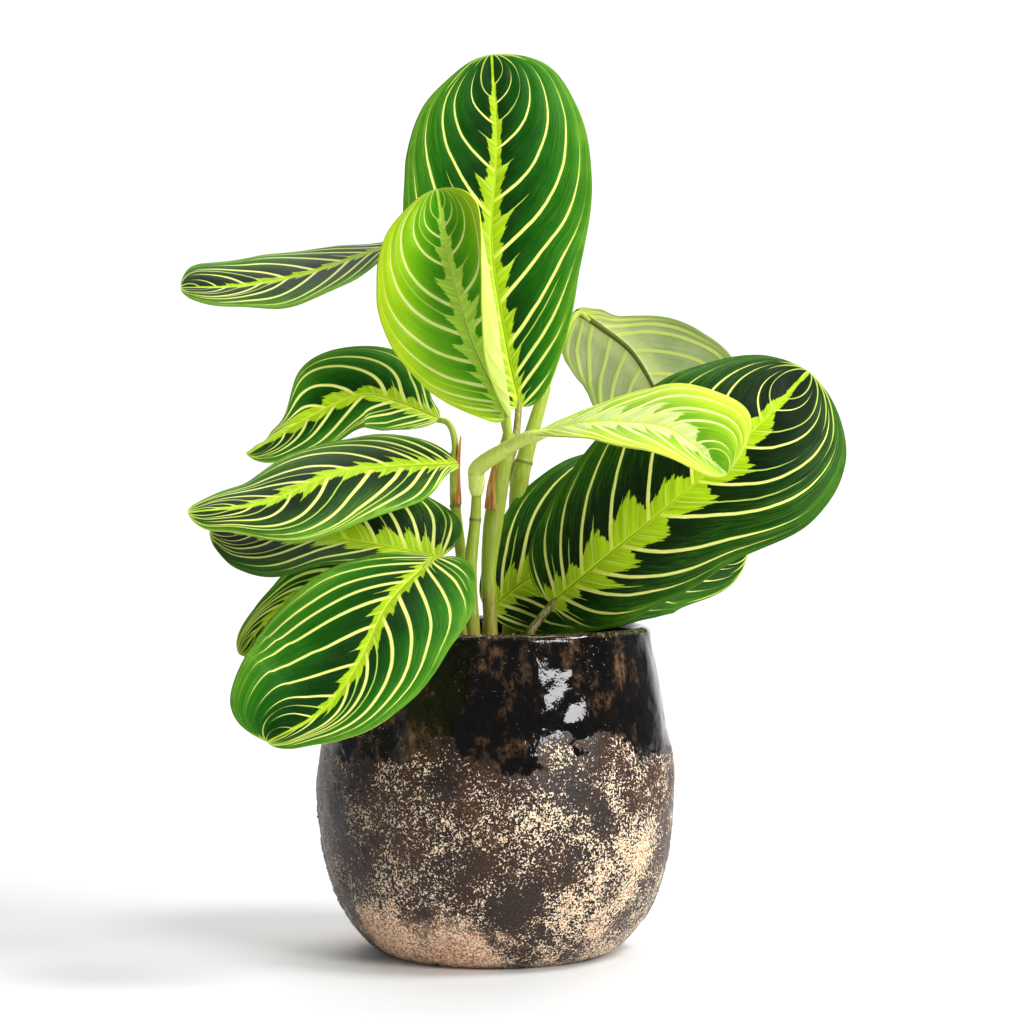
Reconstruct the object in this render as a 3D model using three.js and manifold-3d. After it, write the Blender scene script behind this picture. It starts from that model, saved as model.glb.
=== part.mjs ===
// A potted prayer plant (maranta): twelve broad striped leaves on jointed stems, growing in a
// barrel-shaped glazed stoneware pot filled with soil.
//
// Millimetres, +Z up, with the origin at the middle of the pot's flat base. The plant is seen from
// the front when looking along +Y, with +X to the right.
//
// Every leaf is one thin blade grown from its own stalk, every stem is one jointed cane, and the
// stems and stalks that come out of the ground stand in holes in the soil.
import * as THREE from "three";
import { mergeVertices } from "three/addons/utils/BufferGeometryUtils.js";
import Module from "manifold-3d";

const wasm = await Module();
wasm.setup();

// Driving dimensions of the pot
const POT_HEIGHT = 137;
const POT_WIDEST = 75;
const POT_RIM = 65.6;
const POT_FOOT = 47;
const POT_WALL = 6.5;
const POT_FLOOR = 8;
const POT_TURNS = 52;

// Driving dimensions of what grows in it
const SOIL_LEVEL = 126;
const SOIL_DOME = 5;
const SOIL_LUMPS = 0.9;
const SOIL_TURNS = 32;
const BLADE_THICKNESS = 0.9;
const BLADE_STEPS_ALONG = 14;
const BLADE_STEPS_ACROSS = 8;
const NARROWEST = 0.9;
const STALK_END = 0.8;
const STALK_SIDES = 7;
const STALK_STEPS = 11;
const STEM_SIDES = 9;
const STEM_STEPS = 14;

// How the blade's edge behaves: the right edge's wave runs ahead of the left one's by a share of
// a wave, and the lobes and shoulders fade along the leaf with these powers.
const WAVE_LEAD = 0.37;
const LOBE_FADE = 5;
const SHOULDER_FADE = 9;

// The space between two pieces that touch on the real plant
const SEAT_GAP = 0.3;

const CLAY = new THREE.MeshStandardMaterial({ color: 0x2a201a, roughness: 0.35, metalness: 0 });
const EARTH = new THREE.MeshStandardMaterial({ color: 0x2b1d14, roughness: 0.95, metalness: 0 });
const CANE = new THREE.MeshStandardMaterial({ color: 0x9fb13c, roughness: 0.5, metalness: 0 });
const LEAF = new THREE.MeshStandardMaterial({ color: 0x2c6b16, roughness: 0.45, metalness: 0 });
const YOUNG_LEAF = new THREE.MeshStandardMaterial({ color: 0x8fcf2a, roughness: 0.45, metalness: 0 });

// A closed geometry as a manifold solid.
function solidOf(geometry) {
  const bare = new THREE.BufferGeometry().setAttribute("position", geometry.getAttribute("position"));
  bare.setIndex(geometry.getIndex());
  const merged = mergeVertices(bare, 1e-4);
  return new wasm.Manifold(
    new wasm.Mesh({
      numProp: 3,
      vertProperties: new Float32Array(merged.attributes.position.array),
      triVerts: new Uint32Array(merged.index.array),
    }),
  );
}

// A cut can leave crumbs behind, and the piece is the largest body.
function largestBody(solid) {
  return solid.decompose().reduce((best, body) => (body.volume() > best.volume() ? body : best));
}

// A manifold solid as a named mesh.
function meshOf(name, solid, material) {
  const { numProp, vertProperties, triVerts } = solid.getMesh();
  const count = vertProperties.length / numProp;
  const positions = new Float32Array(count * 3);
  for (let i = 0; i < count; i += 1) {
    positions.set(vertProperties.subarray(i * numProp, i * numProp + 3), i * 3);
  }
  const geometry = new THREE.BufferGeometry();
  geometry.setAttribute("position", new THREE.BufferAttribute(positions, 3));
  geometry.setIndex(new THREE.BufferAttribute(new Uint32Array(triVerts), 1));
  geometry.computeVertexNormals();
  const mesh = new THREE.Mesh(geometry, material);
  mesh.name = name;
  return mesh;
}

// Rows of points, all of one length, as a closed skin: each row is a ring when wrap is true, and
// the first and last rows are closed by a fan round their middle.
function skinOfRings(rings) {
  const sides = rings[0].length;
  const positions = rings.flat().flatMap((p) => [p.x, p.y, p.z]);
  const faces = [];
  for (let i = 0; i + 1 < rings.length; i += 1) {
    for (let j = 0; j < sides; j += 1) {
      const k = (j + 1) % sides;
      const [a, b] = [i * sides + j, i * sides + k];
      faces.push(a, b, b + sides, a, b + sides, a + sides);
    }
  }
  const ends = [rings[0], rings[rings.length - 1]];
  ends.forEach((ring, end) => {
    const middle = ring.reduce((sum, p) => sum.add(p), new THREE.Vector3()).divideScalar(sides);
    const hub = positions.length / 3;
    positions.push(middle.x, middle.y, middle.z);
    const first = end === 0 ? 0 : (rings.length - 1) * sides;
    for (let j = 0; j < sides; j += 1) {
      const k = (j + 1) % sides;
      faces.push(hub, first + (end === 0 ? k : j), first + (end === 0 ? j : k));
    }
  });
  const geometry = new THREE.BufferGeometry();
  geometry.setAttribute("position", new THREE.Float32BufferAttribute(positions, 3));
  geometry.setIndex(faces);
  return geometry;
}

function curveThrough(points) {
  const knots = points.map((p) => new THREE.Vector3(...p));
  return new THREE.CatmullRomCurve3(knots, false, "catmullrom", 0.5);
}

// The value at share t of the way along a list of evenly spaced values.
function valueAt(values, t) {
  const place = Math.min(Math.max(t, 0), 1) * (values.length - 1);
  const i = Math.min(Math.floor(place), values.length - 2);
  return THREE.MathUtils.lerp(values[i], values[i + 1], place - i);
}

// A round stalk along a curve, with its radius given at evenly spaced places. extra widens and
// lengthens it, for the hole that it stands in.
function stalkSolid({ points, radii, sides, steps }, extra = 0) {
  const curve = curveThrough(points);
  const { normals, binormals } = curve.computeFrenetFrames(steps, false);
  const rings = [];
  for (let i = 0; i <= steps; i += 1) {
    const end = { 0: -extra, [steps]: extra }[i] ?? 0;
    const centre = curve.getPointAt(i / steps).addScaledVector(curve.getTangentAt(i / steps), end);
    const radius = valueAt(radii, i / steps) + extra;
    const ring = [];
    for (let j = 0; j < sides; j += 1) {
      const angle = (2 * Math.PI * j) / sides;
      ring.push(
        centre
          .clone()
          .addScaledVector(normals[i], radius * Math.cos(angle))
          .addScaledVector(binormals[i], radius * Math.sin(angle)),
      );
    }
    rings.push(ring);
  }
  return solidOf(skinOfRings(rings));
}

// A value that goes from its base value past its middle value to its tip value.
function alongLeaf([base, middle, tip], u) {
  return base * (1 - u) ** 2 + 2 * middle * u * (1 - u) + tip * u ** 2;
}

// The half width of the blade at u along its rib, from its values at six places. Its square is what
// runs smoothly from place to place and to nothing at both ends, so that the ends come out round.
const WIDTH_PLACES = [0, 0.1, 0.3, 0.5, 0.7, 0.85, 0.95, 1];
function halfWidth(widths, u) {
  const squares = [0, ...widths.map((width) => width * width), 0];
  const steps = squares.slice(1).map((_, i) => WIDTH_PLACES[i + 1] - WIDTH_PLACES[i]);
  const slopes = steps.map((step, i) => (squares[i + 1] - squares[i]) / step);
  const tangents = squares.map((_, i) => {
    const [before, after] = [slopes[Math.max(i - 1, 0)], slopes[Math.min(i, slopes.length - 1)]];
    return (before + after) / 2;
  });
  const past = WIDTH_PLACES.findIndex((place) => place > u);
  const i = past < 0 ? steps.length - 1 : past - 1;
  const t = (u - WIDTH_PLACES[i]) / steps[i];
  const square =
    squares[i] * (1 + 2 * t) * (1 - t) ** 2 +
    tangents[i] * steps[i] * t * (1 - t) ** 2 +
    squares[i + 1] * t * t * (3 - 2 * t) +
    tangents[i + 1] * steps[i] * t * t * (t - 1);
  return Math.sqrt(Math.max(square, NARROWEST ** 2));
}

// The rib's point at u, the way along it, the way the blade's upper side faces and the way to its
// right half.
function ribFrame(leaf, curve, u) {
  const centre = curve.getPointAt(u);
  const along = curve.getTangentAt(u);
  const [baseFace, middleFace, tipFace] = leaf.faces;
  const face = new THREE.Vector3(
    alongLeaf([baseFace[0], middleFace[0], tipFace[0]], u),
    alongLeaf([baseFace[1], middleFace[1], tipFace[1]], u),
    alongLeaf([baseFace[2], middleFace[2], tipFace[2]], u),
  );
  face.addScaledVector(along, -face.dot(along)).normalize();
  const right = new THREE.Vector3().crossVectors(along, face);
  return { centre, along, face, right };
}

// A point of the blade's middle surface, and the normal of its upper side there. across runs from
// -1 at the left edge to 1 at the right one. Each half leaves the rib at its fold angle and bends
// by its curl angle on the way to the edge, along an arc. It reaches back beside the stalk by its
// lobe and on beside the tip by its shoulder, and the edge is waved.
function bladePoint(leaf, curve, u, across) {
  const { centre, along, face, right } = ribFrame(leaf, curve, u);
  const side = across < 0 ? 0 : 1;
  const outward = side === 0 ? -1 : 1;
  const v = Math.abs(across);
  const width = halfWidth(leaf.widths[side], u);
  const fold = THREE.MathUtils.degToRad(alongLeaf(leaf.fold[side], u));
  const curl = THREE.MathUtils.degToRad(alongLeaf(leaf.curl[side], u)) * v;
  const chord = width * v * (Math.abs(curl) < 1e-4 ? 1 : Math.sin(curl / 2) / (curl / 2));
  const [height, count, phase] = leaf.wave;
  const turn = 2 * Math.PI * (count * u + phase + WAVE_LEAD * side);
  const ripple = height * v ** 2 * Math.sqrt(Math.sin(Math.PI * u)) * Math.sin(turn);
  const lobe = (leaf.lobes[side] * width) / leaf.widths[side][0];
  const shoulder = ((leaf.shoulders?.[side] ?? 0) * width) / leaf.widths[side][5];
  const onward = v ** 2 * (shoulder * u ** SHOULDER_FADE - lobe * (1 - u) ** LOBE_FADE);
  const point = centre
    .clone()
    .addScaledVector(right, outward * chord * Math.cos(fold + curl / 2))
    .addScaledVector(face, chord * Math.sin(fold + curl / 2) + ripple)
    .addScaledVector(along, onward);
  const normal = face
    .clone()
    .multiplyScalar(Math.cos(fold + curl))
    .addScaledVector(right, -outward * Math.sin(fold + curl));
  return { point, normal };
}

// The blade as a thin closed sheet. Both faces are split into triangles alike.
function bladeSolid(leaf) {
  const curve = curveThrough(leaf.rib);
  const [rows, columns] = [BLADE_STEPS_ALONG, leaf.stepsAcross ?? BLADE_STEPS_ACROSS];
  const positions = [];
  [1, -1].forEach((faceSide) => {
    for (let i = 0; i <= rows; i += 1) {
      const u = (1 - Math.cos((Math.PI * i) / rows)) / 2;
      for (let j = 0; j <= columns; j += 1) {
        const { point, normal } = bladePoint(leaf, curve, u, (2 * j) / columns - 1);
        point.addScaledVector(normal, (faceSide * BLADE_THICKNESS) / 2);
        positions.push(point.x, point.y, point.z);
      }
    }
  });
  const layer = (rows + 1) * (columns + 1);
  const at = (i, j) => i * (columns + 1) + j;
  const faces = [];
  for (let i = 0; i < rows; i += 1) {
    for (let j = 0; j < columns; j += 1) {
      const [a, b, c, d] = [at(i, j), at(i, j + 1), at(i + 1, j + 1), at(i + 1, j)];
      faces.push(a, b, c, a, c, d);
      faces.push(layer + a, layer + c, layer + b, layer + a, layer + d, layer + c);
    }
  }
  const edge = [];
  for (let j = 0; j < columns; j += 1) edge.push(at(0, j));
  for (let i = 0; i < rows; i += 1) edge.push(at(i, columns));
  for (let j = columns; j > 0; j -= 1) edge.push(at(rows, j));
  for (let i = rows; i > 0; i -= 1) edge.push(at(i, 0));
  edge.forEach((a, k) => {
    const b = edge[(k + 1) % edge.length];
    faces.push(a, layer + b, b, a, layer + a, layer + b);
  });
  const geometry = new THREE.BufferGeometry();
  geometry.setAttribute("position", new THREE.Float32BufferAttribute(positions, 3));
  geometry.setIndex(faces);
  return solidOf(geometry);
}

// The stalk runs from its root to the blade and a short way on under its midrib.
function leafStalk(leaf) {
  const curve = curveThrough(leaf.rib);
  const underRib = [0.02, 0.1].map((u) => {
    const { centre, face } = ribFrame(leaf, curve, u);
    return centre.addScaledVector(face, -0.5 * BLADE_THICKNESS).toArray();
  });
  const [thick, thin] = leaf.stalk.radii;
  return {
    points: [...leaf.stalk.points, ...underRib],
    radii: [thick, thick, thick, thin, thin, STALK_END],
    sides: STALK_SIDES,
    steps: STALK_STEPS,
  };
}

// The jointed canes, each from deep in the soil to its top, with its radius at even steps.
const STEMS = {
  stem_front: {
    points: [[-9.5, -14, 100], [-9.4, -14, 131], [-10.6, -14, 160], [-8.6, -13.6, 182], [-7.9, -14, 199]],
    radii: [3.1, 3.3, 3, 2.7, 2.7, 2.3, 1.8],
  },
  stem_middle: {
    points: [[-2.5, -2.5, 100], [-2.2, -2.5, 131], [-3, -3, 162], [1.2, -4, 196], [5.6, -7, 218]],
    radii: [2.9, 3, 2.9, 3.1, 4.2, 4, 2.6],
  },
  stem_back: {
    points: [[5.5, 14, 100], [5.5, 14, 131], [8.5, 14.5, 168], [10.4, 15, 199], [21, 17, 238]],
    radii: [3, 3.1, 3.2, 3.4, 4, 3.3, 2.4],
  },
  stem_left: {
    points: [[-9.6, -2.8, 100], [-9.6, -2.8, 131], [-14.3, -4.5, 164], [-17.2, -5, 189], [-17.6, -5, 210]],
    radii: [2.2, 2.3, 2.2, 2.2, 2.4, 2.1, 1.6],
  },
};

// The leaves. rib runs along the midrib from the stalk to the tip. faces are the ways that the
// upper side faces near the base, half way and near the tip. widths are the half widths at the six
// width places, left and then right of the rib when the upper side is looked at with the tip up,
// lobes is how far the blade reaches back past its stalk on each side and shoulders is how far it
// reaches on past its tip. fold and curl are in degrees at the base, middle and tip, again left and
// then right. wave is the edge wave's height, its count along the leaf and its phase. A stalk starts
// on a stem's axis or down in the soil.
const LEAVES = {
  leaf_top: {
    rib: [[10, 6, 229], [4, 4, 257], [-2, 6, 298], [0, 10, 338], [-2, 24, 380]],
    faces: [[0.1, -1, 0.1], [0, -1, 0.1], [0, -1, 0.35]],
    widths: [[17, 32, 37, 38, 31, 17], [18, 33, 41, 40, 34, 24]],
    lobes: [4, 6],
    shoulders: [0, 3],
    fold: [[10, 2, 4], [10, 2, 4]],
    curl: [[8, -8, -16], [8, -10, -14]],
    wave: [1.2, 2.6, 0.1],
    stalk: { points: [[1.2, -4, 196], [7, 0, 210], [9, 4, 222]], radii: [1.7, 1.5] },
  },
  leaf_young_left: {
    rib: [[5, -10, 225], [-8, -22, 251], [-14, -30, 269], [-20, -32, 293], [-24, -28, 318]],
    faces: [[-0.1, -1, 0.1], [-0.15, -1, 0.1], [-0.1, -1, 0.3]],
    widths: [[12, 26, 33.5, 31, 24, 13], [14, 30, 38, 33, 25, 15]],
    lobes: [6, 0],
    fold: [[6, 4, 0], [5, 5, 5]],
    curl: [[4, -6, -12], [172, 160, 45]],
    wave: [0.8, 2.2, 0.4],
    stalk: { points: [[1.2, -4, 196], [4, -6, 208], [5, -8, 217]], radii: [2, 1.7] },
    stepsAcross: 14,
    young: true,
  },
  leaf_far_left: {
    rib: [[-40, 33, 301], [-60, 30, 294], [-84, 27, 286], [-110, 23, 281], [-135, 20, 280]],
    faces: [[0, -0.2, 0.98], [0, -0.46, 0.9], [-0.2, -0.62, 0.76]],
    widths: [[10, 20, 24.5, 17.5, 15, 9], [12, 20, 27, 20, 18, 14]],
    lobes: [0, 0],
    fold: [[-2, -6, 8], [6, 4, 16]],
    curl: [[-6, -10, -12], [-6, -10, -12]],
    wave: [1, 2.4, 0.2],
    stalk: { points: [[8.5, 14.5, 168], [4, 22, 220], [-18, 33, 285]], radii: [1.6, 1.3] },
  },
  leaf_left_arched: {
    rib: [[-24, -4, 224], [-41, 2, 231], [-57, 5, 234], [-78, 2, 225], [-104, -10, 209]],
    faces: [[0, -0.8, 0.6], [0, -0.75, 0.65], [-0.1, -0.9, 0.4]],
    widths: [[12, 18, 17, 17, 14, 9], [9, 24, 27, 10, 3, 1.5]],
    lobes: [0, 0],
    fold: [[8, 6, 10], [8, 6, 10]],
    curl: [[-10, -16, -10], [-10, -16, -10]],
    wave: [1, 2.3, 0.3],
    stalk: { points: [[-17.6, -5, 204], [-17.4, -5, 215], [-20, -5, 222]], radii: [1.4, 1.3] },
  },
  leaf_left: {
    rib: [[-16, -12, 205], [-41, -34, 204], [-66, -50, 201], [-92, -63, 190], [-122, -69, 186]],
    faces: [[0.5, -0.5, 0.7], [0.1, -0.55, 0.8], [0, -0.65, 0.75]],
    widths: [[8, 23, 26, 24, 13, 9], [14, 23, 23, 22, 17, 8]],
    lobes: [0, 0],
    fold: [[16, -12, -4], [16, -12, -4]],
    curl: [[-10, -20, -10], [-10, -20, -10]],
    wave: [0.8, 2.2, 0.6],
    stalk: { points: [[-17.2, -5, 189], [-18, -8, 199], [-17, -10.5, 203.5]], radii: [1.4, 1.3] },
  },
  leaf_left_low: {
    rib: [[-23, -18, 166], [-46, -22, 171], [-71, -26, 175], [-94, -27, 177], [-118, -25, 178]],
    faces: [[0, -0.75, 0.66], [0, -0.65, 0.75], [0, -0.8, 0.6]],
    widths: [[12, 18, 21, 26, 20.5, 11], [20, 29, 31, 27, 20, 11]],
    lobes: [4, 20],
    fold: [[36, 18, 4], [36, 18, 4]],
    curl: [[-6, -10, -12], [-6, -10, -12]],
    wave: [0.8, 2.3, 0.1],
    stalk: { points: [[-15, -20, 106], [-16, -20, 134], [-21, -19, 156]], radii: [1.5, 1.3] },
  },
  leaf_left_small: {
    rib: [[-31, 6, 165], [-55, -3, 164], [-77, -11, 154], [-96, -17, 139], [-106, -21, 126]],
    faces: [[0, -0.7, 0.7], [0, -0.7, 0.7], [-0.2, -0.9, 0.4]],
    widths: [[10, 15, 16, 14, 11, 8], [9, 14, 13, 9.5, 7.5, 5]],
    lobes: [0, 0],
    fold: [[20, 18, 14], [20, 18, 14]],
    curl: [[-8, -10, -8], [-8, -10, -8]],
    wave: [0.8, 2.2, 0.5],
    stalk: { points: [[-15, 5, 106], [-16, 5, 134], [-24, 6, 154]], radii: [1.4, 1.2] },
  },
  leaf_front_left: {
    rib: [[-25, -44, 167], [-42, -72, 150], [-54, -94, 126], [-67, -104, 110], [-87, -110, 99]],
    faces: [[-0.1, -0.6, 0.8], [-0.1, -0.8, 0.55], [-0.2, -0.9, 0.3]],
    widths: [[20, 33, 31, 22.5, 11.5, 6.5], [22.5, 34.5, 44, 42.5, 38, 24]],
    lobes: [16, 4],
    shoulders: [0, 16],
    fold: [[6, 4, 4], [6, 4, 4]],
    curl: [[-8, -14, -12], [-8, -14, -12]],
    wave: [0.8, 2.4, 0.2],
    stalk: { points: [[-13, -29, 106], [-13, -29, 134], [-19, -35, 158]], radii: [1.6, 1.4] },
  },
  leaf_right_front: {
    rib: [[23, -14, 147], [48, -30, 169], [74, -40, 191], [102, -40, 216], [129, -26, 243]],
    faces: [[-0.2, -1, 0.3], [-0.2, -1, 0.3], [0, -1, 0.45]],
    widths: [[27, 39, 44.5, 42.5, 34.5, 22], [22.5, 31, 35.5, 44, 37, 22]],
    lobes: [12, 4],
    fold: [[6, 2, 4], [6, 2, 4]],
    curl: [[-6, -12, -16], [-6, -12, -16]],
    wave: [0.8, 2.6, 0.4],
    stalk: { points: [[14, -18, 104], [14, -18, 132], [18, -16, 140]], radii: [2, 1.7] },
  },
  leaf_right_low: {
    rib: [[-3, 4, 143], [13, 4, 156], [41, 12, 169], [74, 24, 175], [109, 34, 167]],
    faces: [[-0.1, -1, 0], [-0.1, -1, 0.2], [0, -0.9, 0.4]],
    widths: [[16, 34, 41, 38, 28, 16], [22, 33, 36, 35, 28, 18]],
    lobes: [4, 4],
    fold: [[6, 4, 4], [6, 4, 4]],
    curl: [[-6, -12, -16], [-6, -12, -16]],
    wave: [0.8, 2.4, 0.3],
    stalk: { points: [[-4.5, 3.5, 106], [-4.5, 3.5, 132], [-4.2, 3.8, 138]], radii: [1.5, 1.4] },
  },
  leaf_back_right: {
    rib: [[34, 30, 271], [45, 34, 264], [59, 39, 253], [70, 44, 235], [78, 47, 214]],
    faces: [[0, 0.9, 0.4], [0, 0.9, 0.4], [0.3, 0.9, 0.3]],
    widths: [[18, 26, 27.5, 27, 21, 12], [6, 13, 30, 37, 32, 20]],
    lobes: [4, 0],
    fold: [[10, 8, 4], [10, 8, 4]],
    curl: [[-8, -14, -14], [-8, -14, -14]],
    wave: [1, 2.5, 0.2],
    stalk: { points: [[19.2, 16.6, 232], [23, 18.5, 243], [30, 25, 262]], radii: [1.7, 1.5] },
  },
  leaf_young_front: {
    rib: [[17, -42, 218], [35, -56, 222], [53, -66, 222], [71, -74, 218], [91, -80, 201]],
    faces: [[0, -0.45, 0.89], [0, -0.5, 0.86], [0.3, -0.85, 0.5]],
    widths: [[12, 21, 24, 26.5, 27, 19], [7, 15, 19, 20, 15, 10]],
    lobes: [0, 0],
    fold: [[0, 4, 34], [0, 4, 34]],
    curl: [[0, -16, -16], [0, -16, -16]],
    wave: [0.6, 2.2, 0.1],
    stalk: {
      points: [[-8.1, -14, 192], [-8, -14.6, 198], [-7.4, -17.4, 203.5], [2, -27, 210], [11, -36, 215]],
      radii: [3.5, 2.8],
    },
    young: true,
  },
};

// The pot's outer and inner outlines, from the middle of its base round the rim to its floor.
function potOutline() {
  const outside = new THREE.SplineCurve(
    [
      [POT_FOOT, 0],
      [POT_WIDEST - 20.5, 4.5],
      [POT_WIDEST - 10.6, 17],
      [POT_WIDEST - 3.2, 35],
      [POT_WIDEST - 0.2, 55],
      [POT_WIDEST - 0.2, 78],
      [POT_WIDEST - 3.6, 101],
      [POT_RIM + 1.2, 125],
      [POT_RIM, POT_HEIGHT - 3],
    ].map((p) => new THREE.Vector2(...p)),
  );
  const lip = POT_WALL / 2;
  const rim = [];
  for (let i = 1; i < 5; i += 1) {
    const angle = (Math.PI * i) / 5;
    rim.push(
      new THREE.Vector2(POT_RIM - lip + lip * Math.cos(angle), POT_HEIGHT - 3 + 3 * Math.sin(angle)),
    );
  }
  const inside = new THREE.SplineCurve(
    [
      [POT_RIM - POT_WALL, POT_HEIGHT - 3],
      [POT_RIM - POT_WALL + 2.5, 118],
      [POT_WIDEST - POT_WALL - 1, 78],
      [POT_WIDEST - POT_WALL - 2, 50],
      [POT_WIDEST - POT_WALL - 12, 20],
      [POT_FOOT - POT_WALL, POT_FLOOR],
    ].map((p) => new THREE.Vector2(...p)),
  );
  return {
    outside: outside.getPoints(12),
    rim,
    inside: inside.getPoints(6),
  };
}

// Turns an outline of (radius, height) points round the Z axis.
function turned(outline, turns) {
  return new THREE.LatheGeometry(outline, turns).rotateX(Math.PI / 2);
}

function potSolid() {
  const { outside, rim, inside } = potOutline();
  const outline = [new THREE.Vector2(0, 0), ...outside, ...rim, ...inside, new THREE.Vector2(0, POT_FLOOR)];
  return solidOf(turned(outline, POT_TURNS));
}

// The soil fills the pot to just under its rim, with a slightly domed and lumpy top.
function soilSolid(holes) {
  const { inside } = potOutline();
  const filled = inside.filter((p) => p.y < SOIL_LEVEL - 2).reverse();
  const top = inside.find((p) => p.y < SOIL_LEVEL - 2).x;
  const outline = [
    new THREE.Vector2(0, POT_FLOOR + SEAT_GAP),
    ...filled.map((p) => new THREE.Vector2(p.x - 2 * SEAT_GAP, p.y + SEAT_GAP)),
    new THREE.Vector2(top - 1.2, SOIL_LEVEL),
    new THREE.Vector2(top * 0.72, SOIL_LEVEL + SOIL_DOME * 0.5),
    new THREE.Vector2(top * 0.4, SOIL_LEVEL + SOIL_DOME * 0.85),
    new THREE.Vector2(0, SOIL_LEVEL + SOIL_DOME),
  ];
  const geometry = turned(outline, SOIL_TURNS);
  const place = geometry.getAttribute("position");
  for (let i = 0; i < place.count; i += 1) {
    const [x, y, z] = [place.getX(i), place.getY(i), place.getZ(i)];
    if (z > SOIL_LEVEL + 1) {
      place.setZ(i, z + SOIL_LUMPS * Math.sin(x * 0.21 + 1) * Math.cos(y * 0.17 - 0.6));
    }
  }
  return solidOf(geometry).subtract(wasm.Manifold.union(holes));
}

// The stems, then the leaves cut back to their seats on the stems, then the soil round them all.
const stemShapes = Object.entries(STEMS).map(([name, { points, radii }]) => {
  const shape = { points, radii, sides: STEM_SIDES, steps: STEM_STEPS };
  return { name, solid: stalkSolid(shape), seat: stalkSolid(shape, SEAT_GAP) };
});
const stemSeats = wasm.Manifold.union(stemShapes.map(({ seat }) => seat));
const leafShapes = Object.entries(LEAVES).map(([name, leaf]) => {
  const stalk = leafStalk(leaf);
  const whole = bladeSolid(leaf).add(stalkSolid(stalk)).subtract(stemSeats);
  return { name, leaf, solid: largestBody(whole), seat: stalkSolid(stalk, SEAT_GAP) };
});
const inSoil = [
  ...stemShapes.map(({ seat }) => seat),
  ...leafShapes.filter(({ leaf }) => leaf.stalk.points[0][2] < SOIL_LEVEL).map(({ seat }) => seat),
];

const plant = new THREE.Group();
plant.add(meshOf("pot", potSolid(), CLAY));
plant.add(meshOf("soil", soilSolid(inSoil), EARTH));
stemShapes.forEach(({ name, solid }) => plant.add(meshOf(name, solid, CANE)));
leafShapes.forEach(({ name, leaf, solid }) => {
  plant.add(meshOf(name, solid, leaf.young ? YOUNG_LEAF : LEAF));
});

export default plant;
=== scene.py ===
# %% [markdown]
# # A potted prayer plant
# A prayer plant (maranta) is a low house plant. Thin jointed stems rise from the soil, and each
# stalk carries one broad oval leaf. The upper side of a leaf is nearly black beside the midrib and
# green towards the edge. Pale yellow veins sweep from the midrib to the tip, and a lime feather
# lies along the midrib. This one grows in a barrel-shaped stoneware pot with a glossy black glaze
# that ends in a rough sandy crust.
#
# The lesson sets up the camera and the lights first, then short helpers for nodes and materials,
# and then makes each piece from the ground up: pot, soil, stems and leaves. All sizes below are in
# millimetres, unless a line says otherwise.

# %% Open the frame
import math

import bpy
import numpy as np
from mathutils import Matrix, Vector, noise


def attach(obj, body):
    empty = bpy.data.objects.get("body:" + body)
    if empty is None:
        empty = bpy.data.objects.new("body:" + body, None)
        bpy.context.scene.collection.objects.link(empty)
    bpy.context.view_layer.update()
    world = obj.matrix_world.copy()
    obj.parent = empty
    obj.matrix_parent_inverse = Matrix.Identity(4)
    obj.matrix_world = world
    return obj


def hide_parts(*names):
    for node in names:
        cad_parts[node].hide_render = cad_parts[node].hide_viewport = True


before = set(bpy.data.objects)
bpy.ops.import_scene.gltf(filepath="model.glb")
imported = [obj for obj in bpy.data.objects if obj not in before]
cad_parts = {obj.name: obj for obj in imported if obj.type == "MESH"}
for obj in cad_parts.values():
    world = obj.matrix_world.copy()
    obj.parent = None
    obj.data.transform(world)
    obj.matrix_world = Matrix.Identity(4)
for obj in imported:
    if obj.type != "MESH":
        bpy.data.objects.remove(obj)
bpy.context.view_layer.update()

MM = 0.001
print("the frame holds", len(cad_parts), "nodes")

# %% [markdown]
# ## The camera
# The photograph was taken from the front with a long lens, a little above the rim of the pot, so
# the rim shows as a nearly straight line. A lens of 100 mm at 1.2 m gives the same flat view. The
# camera looks along +Y and down by little more than a degree. A camera without perspective would be
# flatter still, but no real lens sees like that. A short lens close by would bend the rim.

# %% Place the camera
CAMERA_PLACE = (6.7, -1200, 213)
CAMERA_DOWN = 1.35
FOCAL_PIXELS = 2848
PHOTO_PIXELS = 1024
SENSOR = 36

camera_data = bpy.data.cameras.new("camera")
camera_data.sensor_width = SENSOR
camera_data.lens = SENSOR * FOCAL_PIXELS / PHOTO_PIXELS
camera = bpy.data.objects.new("camera", camera_data)
camera.location = Vector(CAMERA_PLACE) * MM
camera.rotation_euler = (math.radians(90 - CAMERA_DOWN), 0, 0)
bpy.context.scene.collection.objects.link(camera)
bpy.context.scene.camera = camera
print("lens", round(camera_data.lens, 1), "mm")

# %% [markdown]
# ## The floor and the light
# A product photograph has a white floor that curves up into a white wall, so no line shows behind
# the object. A window-shaped light at the right front makes the broken white patch on the glaze. A
# high one at the right lights the leaves and gives the soft shadow on the left, and a weak one at
# the left fills the shadows. The last one hangs behind the plant and only whitens the wall. A bright
# world alone would be simpler, but it lights all sides alike and leaves no shadow to stand on.

# %% Make the floor sweep
SWEEP_FRONT = -3000
SWEEP_BACK = 1500
SWEEP_ROUND = 900
SWEEP_WIDE = 6000
SWEEP_HIGH = 3500
SWEEP_STEPS = 12
PAPER_WHITE = 0.82
PAPER_ROUGH = 0.9


def mesh_object(name, points, faces, materials=(), edges=()):
    """A new object in the scene, from points in millimetres."""
    mesh = bpy.data.meshes.new(name)
    mesh.from_pydata((np.asarray(points, float) * MM).tolist(), list(edges), faces)
    for material in materials:
        mesh.materials.append(material)
    mesh.update()
    thing = bpy.data.objects.new(name, mesh)
    bpy.context.scene.collection.objects.link(thing)
    return thing


def smooth(thing):
    thing.data.polygons.foreach_set("use_smooth", [True] * len(thing.data.polygons))
    return thing


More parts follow.
